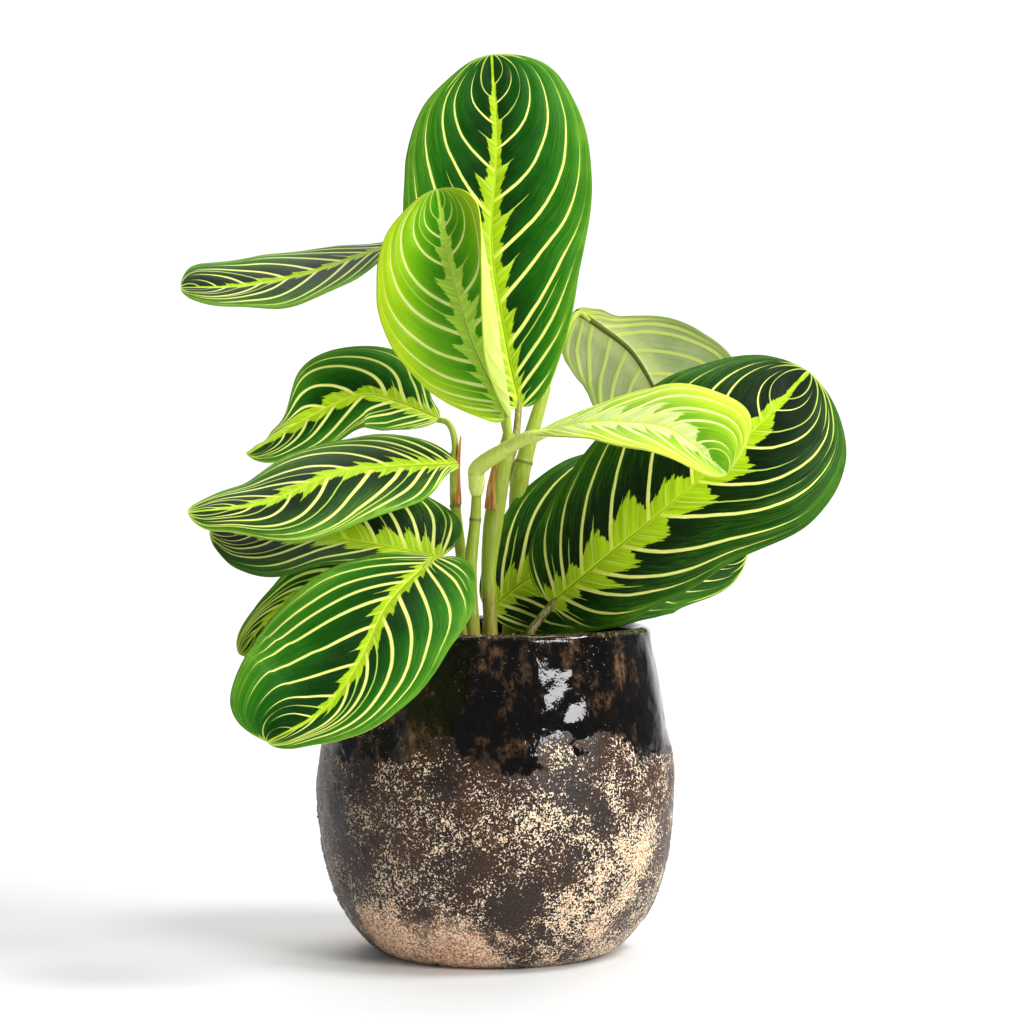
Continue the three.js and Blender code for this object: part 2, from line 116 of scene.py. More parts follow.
paper = bpy.data.materials.new("paper")
paper.use_nodes = True
paper_shader = paper.node_tree.nodes["Principled BSDF"]
paper_shader.inputs["Base Color"].default_value = (PAPER_WHITE, PAPER_WHITE, PAPER_WHITE, 1)
paper_shader.inputs["Roughness"].default_value = PAPER_ROUGH

profile = [(SWEEP_FRONT, 0)]
for step in range(SWEEP_STEPS + 1):
    turn = math.pi / 2 * step / SWEEP_STEPS
    profile.append((SWEEP_BACK + SWEEP_ROUND * math.sin(turn), SWEEP_ROUND * (1 - math.cos(turn))))
profile.append((SWEEP_BACK + SWEEP_ROUND, SWEEP_HIGH))
sweep_points = [(side * SWEEP_WIDE / 2, y, z) for y, z in profile for side in (-1, 1)]
sweep_faces = [(2 * i, 2 * i + 1, 2 * i + 3, 2 * i + 2) for i in range(len(profile) - 1)]
floor = smooth(mesh_object("floor", sweep_points, sweep_faces, [paper]))
print("floor:", len(sweep_faces), "faces")

# %% Hang the soft lights
# Each light's name, place, aim, width, height and watts.
LIGHTS = [
    ("window", (930, -1000, 690), (0, 0, 120), 540, 470, 14),
    ("key", (900, -350, 1300), (0, 0, 170), 560, 440, 17.5),
    ("fill", (-1400, -1200, 900), (0, 0, 170), 1400, 1400, 2),
    ("paper light", (0, 1150, 2350), (0, 1950, 400), 2600, 1600, 59),
]
SKY_COLOUR = (0.92, 0.96, 1, 1)
SKY_STRENGTH = 0.2

for name, place, aim, wide, high, watts in LIGHTS:
    data = bpy.data.lights.new(name, "AREA")
    data.shape = "RECTANGLE"
    data.size = wide * MM
    data.size_y = high * MM
    data.energy = watts
    light = bpy.data.objects.new(name, data)
    light.location = Vector(place) * MM
    light.rotation_euler = (Vector(aim) - Vector(place)).to_track_quat("-Z", "Y").to_euler()
    bpy.context.scene.collection.objects.link(light)

world = bpy.data.worlds.new("studio")
world.use_nodes = True
world.node_tree.nodes["Background"].inputs["Color"].default_value = SKY_COLOUR
world.node_tree.nodes["Background"].inputs["Strength"].default_value = SKY_STRENGTH
bpy.context.scene.world = world
bpy.context.scene.view_settings.view_transform = "Standard"
print("lights:", len(LIGHTS))

# %% [markdown]
# ## A short way to write node trees
# A material and a Geometry Nodes tree are both trees of nodes. Written out in full, each node takes
# several lines, so this helper wires one node per call. What a node gives comes back as a `Wire`,
# and a sum or a product of wires places a Math node, so `edge * 0.5 + clouds` is written as it is
# read. Anything given as a plain number stays a number on the node's socket. The trees could also
# be drawn by hand in the editor, but a script shows every value and makes the same tree again.


# %% Write the helper for nodes
class Wire:
    """What one node gives. Sums and products of wires place Math nodes."""

    def __init__(self, nodes, socket):
        self.nodes, self.socket = nodes, socket

    def __add__(self, other):
        return self.nodes.math("ADD", self, other)

    def __sub__(self, other):
        return self.nodes.math("SUBTRACT", self, other)

    def __rsub__(self, other):
        return self.nodes.math("SUBTRACT", other, self)

    def __mul__(self, other):
        return self.nodes.math("MULTIPLY", self, other)

    def __truediv__(self, other):
        return self.nodes.math("DIVIDE", self, other)

    __radd__, __rmul__ = __add__, __mul__


class Nodes:
    """A node tree, with a short call for each kind of node that is used."""

    def __init__(self, tree):
        self.tree = tree

    def feed(self, socket, value):
        if isinstance(value, Wire):
            self.tree.links.new(value.socket, socket)
        elif value is not None:
            socket.default_value = value

    def node(self, kind, inputs, gives=0, **settings):
        """Places a node, fills its inputs, and returns one of its outputs."""
        made = self.tree.nodes.new(kind)
        for key, value in settings.items():
            setattr(made, key, value)
        for socket, value in inputs.items():
            self.feed(made.inputs[socket], value)
        return Wire(self, made.outputs[gives])

    def math(self, operation, first, second=None):
        return self.node("ShaderNodeMath", {0: first, 1: second}, operation=operation)

    def ease(self, value, low, high, start=0.0, end=1.0):
        """start below low, end above high, and a soft step between them."""
        inputs = {"Value": value, "From Min": low, "From Max": high, "To Min": start, "To Max": end}
        return self.node("ShaderNodeMapRange", inputs, interpolation_type="SMOOTHSTEP")

    def noise(self, place, scale, detail, roughness=0.5, gives="Fac"):
        inputs = {"Vector": place, "Scale": scale, "Detail": detail, "Roughness": roughness}
        return self.node("ShaderNodeTexNoise", inputs, gives)

    def jolt(self, place, scale, detail, size):
        """A random push in all directions that changes from place to place."""
        colours = self.noise(place, scale, detail, gives="Color")
        push = self.node("ShaderNodeVectorMath", {0: colours, 1: (0.5, 0.5, 0.5)}, operation="SUBTRACT")
        return self.node("ShaderNodeVectorMath", {0: push, "Scale": size}, operation="SCALE")

    def vector(self, x, y, z):
        return self.node("ShaderNodeCombineXYZ", {"X": x, "Y": y, "Z": z})

    def split(self, vector):
        """The three parts x, y and z of a vector."""
        made = self.node("ShaderNodeSeparateXYZ", {0: vector})
        return [Wire(self, socket) for socket in made.socket.node.outputs]


print("node helper ready")

# %% [markdown]
# ## A short way to write materials
# A material adds colours, the object's own coordinates and the values stored on its mesh. Colours
# are given as they look on a screen, in three numbers from 0 to 255, and are turned into the linear
# values that a shader wants. A finish is built up as a painter would: a ground, then layers on it,
# because each layer can then be judged and changed alone.


# %% Write the helper for materials
def linear(red, green, blue):
    shares = [c / 255 for c in (red, green, blue)]
    return tuple(s / 12.92 if s <= 0.04045 else ((s + 0.055) / 1.055) ** 2.4 for s in shares) + (1.0,)


def paint(colour):
    """Makes a screen colour of three numbers linear. Wires and linear colours stay as they are."""
    return linear(*colour) if isinstance(colour, tuple) and len(colour) == 3 else colour


class Coat(Nodes):
    """The node tree of one material."""

    def __init__(self, name):
        self.material = bpy.data.materials.new(name)
        self.material.use_nodes = True
        super().__init__(self.material.node_tree)
        self.place = self.node("ShaderNodeTexCoord", {}, "Object")

    def attribute(self, name):
        return self.node("ShaderNodeAttribute", {}, "Fac", attribute_name=name)

    def mix(self, share, first, second):
        inputs = {0: share, 6: paint(first), 7: paint(second)}
        return self.node("ShaderNodeMix", inputs, 2, data_type="RGBA")

    def layers(self, ground, over):
        """The ground with colours laid over it one by one, each with its share."""
        for share, colour in over:
            ground = self.mix(share, ground, colour)
        return ground

    def ramp(self, value, stops):
        made = self.node("ShaderNodeValToRGB", {"Fac": value})
        elements = made.socket.node.color_ramp.elements
        while len(elements) < len(stops):
            elements.new(0.5)
        for element, (place, colour) in zip(elements, stops):
            element.position = place
            element.color = paint(colour)
        return made

    def spots(self, place, several):
        """1 in the middle of any of the spots and 0 outside all. They are given in millimetres."""
        total = 0.0
        for centre, radius in several:
            middle = tuple(c * MM for c in centre)
            away = self.node("ShaderNodeVectorMath", {0: place, 1: middle}, "Value", operation="DISTANCE")
            total = self.math("MAXIMUM", total, self.ease(away, radius * MM, 0.4 * radius * MM))
        return total

    def chance(self, value):
        """A random number from 0 to 1 that stays the same for the same value."""
        return self.node("ShaderNodeTexWhiteNoise", {"W": value}, "Value", noise_dimensions="1D")

    def bump(self, height, distance, strength=1.0):
        inputs = {"Height": height, "Distance": distance * MM, "Strength": strength}
        return self.node("ShaderNodeBump", inputs)

    def finish(self, colour, roughness, normal, shine=0.5):
        shader = self.tree.nodes["Principled BSDF"]
        shader.inputs["Specular IOR Level"].default_value = shine
        for socket, value in (("Base Color", colour), ("Roughness", roughness), ("Normal", normal)):
            self.feed(shader.inputs[socket], value)
        return self.material


print("material helper ready")

# %% [markdown]
# ## The pot
# The real pot is thrown on a wheel, so its outline turned round an axis gives its form. Its surface
# is not even: the wall has soft dents from the hand, and the lower part has a crust like fine
# gravel. A bump in the material could fake both, but then the pot's edge would stay a clean curve,
# so they are pushed into the mesh. The outline repeats the sizes of the frame's own pot.

# %% Set out the pot's outline
POT_HEIGHT = 137
POT_WIDEST = 75
POT_RIM = 65.6
POT_FOOT = 47
POT_WALL = 6.5
POT_FLOOR = 8
POT_TURNS = 400
LIP_RISE = 3
GLAZE_ENDS = 88
FOOT_ROWS = 8
OUTSIDE_ROWS = 130
RIM_ROWS = 10
INSIDE_ROWS = 22


def curve_through(knots, count):
    """Points and directions along a smooth curve through the knots, evenly spaced."""
    knots = np.asarray(knots, float)
    ends = [2 * knots[0] - knots[1], *knots, 2 * knots[-1] - knots[-2]]
    dense = []
    for before, first, second, after in zip(ends, ends[1:], ends[2:], ends[3:]):
        t = np.linspace(0, 1, 100, endpoint=False)[:, None]
        leave, arrive = (second - before) / 2, (after - first) / 2
        dense.append(
            first * (2 * t**3 - 3 * t**2 + 1)
            + leave * (t**3 - 2 * t**2 + t)
            + second * (3 * t**2 - 2 * t**3)
            + arrive * (t**3 - t**2)
        )
    dense = np.vstack([*dense, knots[-1:]])
    length = np.concatenate([[0], np.cumsum(np.linalg.norm(np.diff(dense, axis=0), axis=1))])
    wanted = np.linspace(0, length[-1], count) if np.isscalar(count) else np.asarray(count) * length[-1]
    points = np.stack([np.interp(wanted, length, axis) for axis in dense.T], axis=1)
    slopes = np.gradient(dense, length, axis=0, edge_order=1)
    along = np.stack([np.interp(wanted, length, axis) for axis in slopes.T], axis=1)
    return points, along / np.linalg.norm(along, axis=1, keepdims=True)


outside, _ = curve_through(
    [
        (POT_FOOT, 0),
        (POT_WIDEST - 20.5, 4.5),
        (POT_WIDEST - 10.6, 17),
        (POT_WIDEST - 3.2, 35),
        (POT_WIDEST - 0.2, 55),
        (POT_WIDEST - 0.2, 78),
        (POT_WIDEST - 3.6, 101),
        (POT_RIM + 1.2, 125),
        (POT_RIM, POT_HEIGHT - LIP_RISE),
    ],
    OUTSIDE_ROWS,
)
lip = POT_WALL / 2
rim_turns = np.linspace(0, math.pi, RIM_ROWS + 2)[1:-1]
rim = np.stack(
    [POT_RIM - lip + lip * np.cos(rim_turns), POT_HEIGHT - LIP_RISE + LIP_RISE * np.sin(rim_turns)], axis=1
)
inside, _ = curve_through(
    [
        (POT_RIM - POT_WALL, POT_HEIGHT - LIP_RISE),
        (POT_RIM - POT_WALL + 2.5, 118),
        (POT_WIDEST - POT_WALL - 1, 78),
        (POT_WIDEST - POT_WALL - 2, 50),
        (POT_WIDEST - POT_WALL - 12, 20),
        (POT_FOOT - POT_WALL, POT_FLOOR),
    ],
    INSIDE_ROWS,
)
foot = np.stack([np.linspace(4, POT_FOOT - 1.5, FOOT_ROWS), np.zeros(FOOT_ROWS)], axis=1)
pot_outline = np.vstack([foot, outside, rim, inside])
print("pot outline:", len(pot_outline), "points")


# %% Turn the outline into a mesh
def turned(name, outline, turns, bottom, top, materials):
    """A closed mesh of an outline that runs round the axis between two points on it."""
    angles = np.linspace(0, 2 * math.pi, turns, endpoint=False)
    ring = np.stack([np.cos(angles), np.sin(angles)], axis=1)
    rows = [np.column_stack([r * ring, np.full(turns, z)]) for r, z in outline]
    points = np.vstack([*rows, [(0, 0, bottom)], [(0, 0, top)]])
    faces = []
    for i in range(len(outline) - 1):
        for j in range(turns):
            k = (j + 1) % turns
            faces.append((i * turns + j, i * turns + k, (i + 1) * turns + k, (i + 1) * turns + j))
    low, high, last = len(points) - 2, len(points) - 1, (len(outline) - 1) * turns
    faces += [(low, (j + 1) % turns, j) for j in range(turns)]
    faces += [(high, last + j, last + (j + 1) % turns) for j in range(turns)]
    return smooth(mesh_object(name, points, faces, materials))


def push(thing, how):
    """Moves each point by what how gives for its place and its normal, in millimetres."""
    mesh = thing.data
    moved = [point.co + how(point.co / MM, point.normal) * MM for point in mesh.vertices]
    mesh.vertices.foreach_set("co", np.array(moved).ravel())
    mesh.update()


def lumps(place, fineness, height):
    """Noise that rises and falls by up to the height. A higher fineness gives smaller lumps."""
    return noise.noise(place * fineness) * height


def pot_relief(place, normal):
    """Dents all over, gravel in clumps on the crust, and soft drops in the glaze."""
    if place.z < 0.5 or math.hypot(place.x, place.y) < POT_RIM - POT_WALL + 3:
        return Vector((0, 0, 0))
    turn = math.atan2(place.y, place.x)
    wander = noise.noise(Vector((2.2 * math.cos(turn), 2.2 * math.sin(turn), 0.01 * place.z))) * 22
    above_crust = place.z - GLAZE_ENDS - wander - lumps(place, 0.12, 8)
    rough = 1 - min(max(above_crust / 6 + 0.5, 0), 1)
    dents = (lumps(place, 0.035, 1.1) + lumps(place, 0.11, 0.35)) * min(place.z / 8, 1)
    gravel = max(noise.noise(place * 0.55), -0.1) * 0.9 + lumps(place, 1.1, 0.35)
    clumps = max(noise.noise(place * 0.09 + Vector((7, 3, 1))), 0)
    drops = max(noise.noise(place * 0.28), 0) * 0.22
    return normal * (dents + rough * gravel * (0.35 + 1.3 * clumps) + (1 - rough) * drops)


print("pot surface ready")

# %% [markdown]
# ### Glaze and crust
# One material covers the whole pot, because the glaze runs into the crust along a frayed border.
# The border is read from the height with noise added. Above it the surface is a glossy black with
# brown clouds. Below it a rough brown-black ground carries pale sandy grains, which stand close
# together in patches and fill up towards the foot, where the bare clay shows. A picture could be
# wrapped round the pot, but it would have a seam and blur from near by, while noise has neither.
# Noise alone puts the patches anywhere, so where each lies is listed: a spot below is a centre and a
# radius in millimetres.

# %% Choose where the patches lie
GLAZE_TONGUES = [((8, -74, 84), 20), ((-52, -52, 90), 14), ((-60, 40, 84), 24), ((30, 68, 86), 20)]
CRUST_TONGUES = [
    ((46, -56, 97), 22), ((26, -68, 93), 12), ((-22, -70, 91), 12), ((70, 20, 96), 22), ((-20, 70, 94), 24)
]
CREAM_SPOTS = [
    ((57, -49, 52), 22), ((44, -54, 27), 22), ((30, -60, 16), 16),
    ((-66, 28, 40), 22), ((0, 70, 34), 26), ((66, 30, 30), 22),
]
CLAY_SPOTS = [((-40, -42, 12), 24), ((-16, -56, 9), 24), ((-50, 24, 10), 26), ((30, 50, 8), 24)]
DARK_RUNS = [
    ((11, -61, 16), 18), ((8, -66, 30), 14), ((34, -50, 5), 9), ((-38, 54, 26), 18), ((60, 10, 12), 16)
]
RUST_SPOTS = [
    ((-8, -74, 76), 13), ((57, -49, 69), 14), ((-13, -70, 38), 13),
    ((43, -58, 37), 12), ((60, 40, 70), 14), ((-70, 10, 62), 14),
]
SHADED_SIDE = [((-72, -30, 66), 62)]
print("spots:", sum(map(len, (GLAZE_TONGUES, CRUST_TONGUES, CREAM_SPOTS, CLAY_SPOTS, DARK_RUNS, RUST_SPOTS))))


# %% Mix the crust
def crust_coat(coat, about, broad, patchy, speck, fine):
    """The crust's colour, and where its pale grains lie."""
    height = coat.split(coat.place)[2]
    clay, dark, shaded = (coat.spots(about, several) for several in (CLAY_SPOTS, DARK_RUNS, SHADED_SIDE))
    cover = (patchy - 0.5) * 3.6 + (broad - 0.5) * 1.2 - 0.02 + coat.ease(height, 45 * MM, 5 * MM) * 0.2
    cover += coat.spots(about, CREAM_SPOTS) * 0.5 + clay * 0.35 - dark * 0.6 - shaded * 0.2
    sand = coat.ease(speck + cover * 0.16, 0.568, 0.592)
    rust = coat.spots(about, RUST_SPOTS) * coat.ease(patchy, 0.35, 0.6, 0.2, 0.7)
    dust = coat.ease(fine, 0.44, 0.58) * coat.ease(cover, -0.5, 0.3, 0.1, 0.6)
    pits = coat.ease(speck, 0.54, 0.49) * coat.ease(cover, -0.05, 0.2)
    browns = [(0.34, (14, 7, 3)), (0.48, (42, 22, 10)), (0.6, (76, 42, 20)), (0.72, (28, 14, 6))]
    grains = coat.ramp(fine, [(0.36, (146, 88, 48)), (0.46, (208, 156, 112)), (0.56, (255, 230, 198))])
    bare = coat.ramp(speck, [(0.39, (160, 84, 44)), (0.46, (230, 168, 124)), (0.54, (254, 228, 198))])
    over = [
        (shaded * 0.8, (14, 7, 3)),
        (rust, (84, 52, 24)),
        (dark * 0.7, (40, 28, 22)),
        (dust, (108, 66, 36)),
        (coat.ease(fine, 0.52, 0.42, 0.0, 0.75), (10, 5, 2)),
        (pits * 0.88, (4, 2, 1)),
        (sand, coat.mix(shaded * 0.5, grains, (142, 96, 60))),
        (clay * coat.ease(height, 36 * MM, 12 * MM) * 0.85, bare),
    ]
    return coat.layers(coat.ramp(broad, browns), over), sand


print("the glaze ends", GLAZE_ENDS, "mm above the foot")

# %% Mix the glaze over the crust
GLAZE_ROUGH = 0.06


def stoneware():
    coat = Coat("glazed stoneware")
    place = coat.place
    warp = coat.jolt(place, 110, 3, 0.03)
    about = coat.node("ShaderNodeVectorMath", {0: place, 1: warp}, operation="ADD")
    x, y, z = coat.split(place)
    broad = coat.noise(place, 26, 4, 0.6)
    patchy = coat.noise(place, 62, 4, 0.68)
    grains = coat.noise(place, 700, 2, 0.75)
    fine = coat.noise(place, 1400, 2, 0.6)
    speck = fine * 0.35 + grains * 0.65

    # Where the glaze ends: about 88 mm up, lower in its tongues and higher where the crust climbs.
    border = z + (patchy - 0.5) * (22 * MM) + (grains - 0.5) * (8 * MM)
    border += coat.spots(about, GLAZE_TONGUES) * (6 * MM) - coat.spots(about, CRUST_TONGUES) * (9 * MM)
    glazed = coat.ease(border, (GLAZE_ENDS - 0.8) * MM, (GLAZE_ENDS + 0.6) * MM)
    crust, sand = crust_coat(coat, about, broad, patchy, speck, fine)

    # The glaze: black with brown clouds that have run down it, a worn lip and a few pale flecks.
    drip = coat.noise(coat.vector(x, y, z * 0.65), 85, 4, 0.75)
    blacks = [(0.42, (3, 2, 2)), (0.54, (12, 8, 5)), (0.62, (62, 44, 28)), (0.72, (112, 88, 62))]
    on_lip = coat.ease(z, (POT_HEIGHT - 2.4) * MM, (POT_HEIGHT - 0.8) * MM)
    worn = on_lip * coat.ease(patchy, 0.46, 0.6, 0.25, 1.0)
    worn_colour = coat.mix(coat.ease(grains, 0.5, 0.58), (44, 32, 24), (150, 124, 100))
    fleck = coat.ease(grains, 0.66, 0.7) * coat.ease(broad, 0.44, 0.6)
    over = [(worn * 0.7, worn_colour), (fleck * 0.7, (190, 164, 136))]
    glaze = coat.layers(coat.ramp(drip, blacks), over)

    crust_rough = sand * 0.4 + 0.4
    rough = crust_rough + (GLAZE_ROUGH - crust_rough) * glazed
    ripples = coat.noise(place, 260, 3, 0.6) * 0.12 + drip * 0.3
    relief = (sand * 0.7 + speck * 0.5) * (1.0 - glazed) + ripples * glazed
    return coat.finish(coat.mix(glazed, crust, glaze), rough, coat.bump(relief, 0.8, 0.9), 0.4)


pot = turned("stoneware_pot", pot_outline, POT_TURNS, 0, POT_FLOOR, [stoneware()])
push(pot, pot_relief)
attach(pot, "root")
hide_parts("pot")
print("pot:", len(pot.data.polygons), "faces")

# %% [markdown]
# ## The soil
# Potting mix is dark, loose and full of bits. A bumpy texture alone would look like a carpet from
# the side. So the body is one turned form like the pot's inside, with its top raised and lumpy, and
# the crumbs and chips on it are several hundred copies of a lumpy grain, stretched and turned at
# random. Placing them by hand would take hours. Geometry Nodes scatter them with a fixed seed.

# %% Shape the bed of soil
SOIL_LEVEL = 126
SOIL_DOME = 5
SOIL_GAP = 0.6
SOIL_TURNS = 150
TOP_ROWS = 44


def soil_material():
    coat = Coat("potting mix")
    clods = coat.noise(coat.place, 160, 4, 0.7)
    specks = coat.noise(coat.place, 900, 2, 0.6)
    browns = [(0.3, (18, 12, 8)), (0.5, (48, 33, 22)), (0.62, (86, 62, 42)), (0.72, (130, 100, 72))]
    return coat.finish(coat.ramp(clods * 0.6 + specks * 0.4, browns), 0.95, coat.bump(clods, 1.2))


def soil_relief(place, normal):
    if place.z < SOIL_LEVEL - 1:
        return Vector((0, 0, 0))
    return Vector((0, 0, lumps(place, 0.11, 1.8) + lumps(place, 0.4, 1.1) + lumps(place, 0.9, 0.5)))


potting_mix = soil_material()
bed_inside = inside[inside[:, 1] < SOIL_LEVEL - 2][::-1] - (SOIL_GAP, -SOIL_GAP)
rise = np.linspace(0, math.pi / 2, TOP_ROWS)
bed_top = np.stack(
    [np.linspace(bed_inside[-1, 0] - 1.2, 1.5, TOP_ROWS), SOIL_LEVEL + SOIL_DOME * np.sin(rise)], axis=1
)
bed_outline = np.vstack([bed_inside, bed_top])
soil = turned(
    "potting_soil", bed_outline, SOIL_TURNS, POT_FLOOR + SOIL_GAP, SOIL_LEVEL + SOIL_DOME, [potting_mix]
)
push(soil, soil_relief)
print("soil:", len(soil.data.polygons), "faces")

# %% [markdown]
# ### Geometry Nodes from a script
# A Geometry Nodes tree is a rule that makes one shape from another. Its inputs carry names, so the
# sizes of each piece can be given when the tree is run. Each tree here ends by making its copies
# real and coating them, and the result is kept as a plain mesh.


# %% Write the helper for Geometry Nodes
class Maker(Nodes):
    """A Geometry Nodes tree that takes a geometry, some named sizes and a material."""

    def __init__(self, name, sizes):
        super().__init__(bpy.data.node_groups.new(name, "GeometryNodeTree"))
        kinds = {"Geometry": "Geometry", **{size: "Float" for size in sizes}, "Material": "Material"}
        for title, kind in kinds.items():
            self.tree.interface.new_socket(title, in_out="INPUT", socket_type="NodeSocket" + kind)
        self.tree.interface.new_socket("Geometry", in_out="OUTPUT", socket_type="NodeSocketGeometry")
        given = self.tree.nodes.new("NodeGroupInput")
        self.given = {title: Wire(self, given.outputs[title]) for title in kinds}

    def draw(self, low, high, seed):
        """A random vector for each copy."""
        inputs = {"Min": low, "Max": high, "Seed": seed}
        return self.node("FunctionNodeRandomValue", inputs, "Value", data_type="FLOAT_VECTOR")

    def end(self, geometry):
        real = self.node("GeometryNodeRealizeInstances", {"Geometry": geometry})
        inputs = {"Geometry": real, "Material": self.given["Material"]}
        coated = self.node("GeometryNodeSetMaterial", inputs)
        self.tree.links.new(coated.socket, self.tree.nodes.new("NodeGroupOutput").inputs[0])
        print(self.tree.name, "tree:", len(self.tree.nodes), "nodes")
        return self.tree


def run_tree(thing, tree, sizes):
    """The plain mesh that the tree makes of the thing, as a new object of its own."""
    modifier = thing.modifiers.new("nodes", "NODES")
    modifier.node_group = tree
    for item in tree.interface.items_tree:
        if item.in_out == "INPUT" and item.name in sizes:
            modifier[item.identifier] = sizes[item.name]
    seen = thing.evaluated_get(bpy.context.evaluated_depsgraph_get())
    mesh = bpy.data.meshes.new_from_object(seen)
    thing.modifiers.remove(modifier)
    made = bpy.data.objects.new(tree.name, mesh)
    bpy.context.scene.collection.objects.link(made)
    return smooth(made)


# %% Scatter crumbs and bark on the soil
CRUMB_SIZE = 1.5
CHIP_SIZE = 1.95
CRUMBS_PER_M2 = 60000
CHIPS_PER_M2 = 14000
LUMP_SCALE = 700
LUMP_REACH = 1.6
SMALLEST = 0.35


def bark_material():
    coat = Coat("bark chips")
    grain = coat.noise(coat.place, 420, 3, 0.7)
    browns = [(0.35, (46, 28, 18)), (0.5, (112, 74, 46)), (0.68, (176, 136, 98))]
    return coat.finish(coat.ramp(grain, browns), 0.9, coat.bump(grain, 0.4))


def scatter(name, material, seed, stretch, density, size):
    """Lumpy grains on top of the soil. The largest are stretched by the three given numbers."""
    tree = Maker(name, ["Density", "Size"])
    height = tree.split(tree.node("GeometryNodeInputPosition", {}))[2]
    above = {"A": height, "B": (SOIL_LEVEL - 1) * MM}
    on_top = tree.node("FunctionNodeCompare", above, operation="GREATER_THAN")
    spread = {"Mesh": tree.given["Geometry"], "Selection": on_top, "Density": tree.given["Density"]}
    points = tree.node("GeometryNodeDistributePointsOnFaces", {**spread, "Seed": seed})
    ball = tree.node("GeometryNodeMeshIcoSphere", {"Radius": tree.given["Size"], "Subdivisions": 2})
    lump = tree.jolt(None, LUMP_SCALE, 1.0, LUMP_REACH * CRUMB_SIZE * MM)
    grain = tree.node("GeometryNodeSetPosition", {"Geometry": ball, "Offset": lump})
    turn = tree.draw((-3, -3, -3), (3, 3, 3), seed + 1)
    scale = tree.draw(tuple(SMALLEST * s for s in stretch), stretch, seed + 2)
    copies = {"Points": points, "Instance": grain, "Rotation": turn, "Scale": scale}
    ended = tree.end(tree.node("GeometryNodeInstanceOnPoints", copies))
    made = run_tree(soil, ended, {"Density": density, "Size": size * MM, "Material": material})
    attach(made, "root")
    print(made.name, len(made.data.polygons), "faces")


scatter("soil_crumbs", potting_mix, 11, (1.6, 1.3, 1.0), CRUMBS_PER_M2, CRUMB_SIZE)
scatter("bark_chips", bark_material(), 23, (2.6, 1.1, 0.6), CHIPS_PER_M2, CHIP_SIZE)
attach(soil, "root")
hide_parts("soil")

# %% [markdown]
# ## The stems
# The canes of a prayer plant are jointed: every few centimetres a ring marks where a leaf or its
# sheath was fastened. A cane is a circle carried along a path, and its radius changes with the
# place. A bevelled curve could do that too, but each ring would have to be modelled on it. The tree
# below adds rings at a given gap to any path, and it makes the leaf stalks further on as well.

# %% Build the tree that makes canes
CANE_SIDES = 20
CANE_STEPS = 130
RING_WIDE = 1.6
RING_HIGH = 0.13
NO_RINGS = 1000


def cane_tree():
    tree = Maker("cane", ["Ring Gap", "Ring Height"])
    path = tree.node("GeometryNodeMeshToCurve", {"Mesh": tree.given["Geometry"]})
    run = tree.node("GeometryNodeSplineParameter", {}, "Length")
    from_ring = tree.math("PINGPONG", run, tree.given["Ring Gap"] * 0.5)
    swell = tree.ease(from_ring, 0.0, RING_WIDE * MM, tree.given["Ring Height"], 0.0)
    thick = tree.node("GeometryNodeInputNamedAttribute", {"Name": "thick"}, data_type="FLOAT")
    marked = tree.node("GeometryNodeStoreNamedAttribute", {"Geometry": path, "Name": "run", "Value": run})
    circle = tree.node("GeometryNodeCurvePrimitiveCircle", {"Resolution": CANE_SIDES, "Radius": 1.0})
    carried = {"Curve": marked, "Profile Curve": circle, "Scale": thick * (swell + 1.0), "Fill Caps": True}
    return tree.end(tree.node("GeometryNodeCurveToMesh", carried))


CANE = cane_tree()


def cane(name, knots, radii, steps, material, ring_gap=NO_RINGS, ring_height=0.0):
    """A cane along the knots, as a new object. The radii are spaced evenly along it."""
    points, _ = curve_through(knots, steps)
    line = mesh_object(name + "_path", points, [], edges=[(i, i + 1) for i in range(steps - 1)])
    thick = np.interp(np.linspace(0, 1, steps), np.linspace(0, 1, len(radii)), radii)
    thick = np.convolve(np.pad(thick, 2, mode="edge"), np.ones(5) / 5, mode="valid")
    line.data.attributes.new("thick", "FLOAT", "POINT").data.foreach_set("value", thick * MM)
    sizes = {"Ring Gap": ring_gap * MM, "Ring Height": ring_height, "Material": material}
    made = run_tree(line, CANE, sizes)
    bpy.data.objects.remove(line)
    made.name = name
    return made


print("cane sides:", CANE_SIDES)


# %% Colour the canes
ROOT_TINT_LOW = 128
ROOT_TINT_HIGH = 165
CANE_GREEN = (154, 176, 42)
CANE_ROOT = (150, 140, 48)


def cane_material(name, colour, root_colour, seed, ring_gap=NO_RINGS):
    coat = Coat(name)
    x, y, z = coat.split(coat.place)
    fibres = coat.noise(coat.vector(x, y, z * 0.08), 1100, 3, 0.6)
    blotches = coat.noise(coat.place, 90 + seed, 4, 0.65)
    ring = coat.ease(coat.math("PINGPONG", coat.attribute("run"), 0.5 * ring_gap * MM), 0.9 * MM, 0.3 * MM)
    rooty = coat.ease(z, ROOT_TINT_HIGH * MM, ROOT_TINT_LOW * MM) + (blotches - 0.5) * 1.6
    over = [
        (coat.ease(rooty, 0.1, 0.9), root_colour),
        (coat.ease(fibres, 0.45, 0.62) * 0.4, (196, 206, 104)),
        (coat.ease(blotches, 0.62, 0.74) * 0.4, (112, 104, 36)),
        (ring * 0.65, (96, 74, 34)),
    ]
    return coat.finish(coat.layers(colour, over), 0.42, coat.bump(fibres, 0.18, 0.7))


print("the root tint fades from", ROOT_TINT_LOW, "to", ROOT_TINT_HIGH, "mm above the foot")

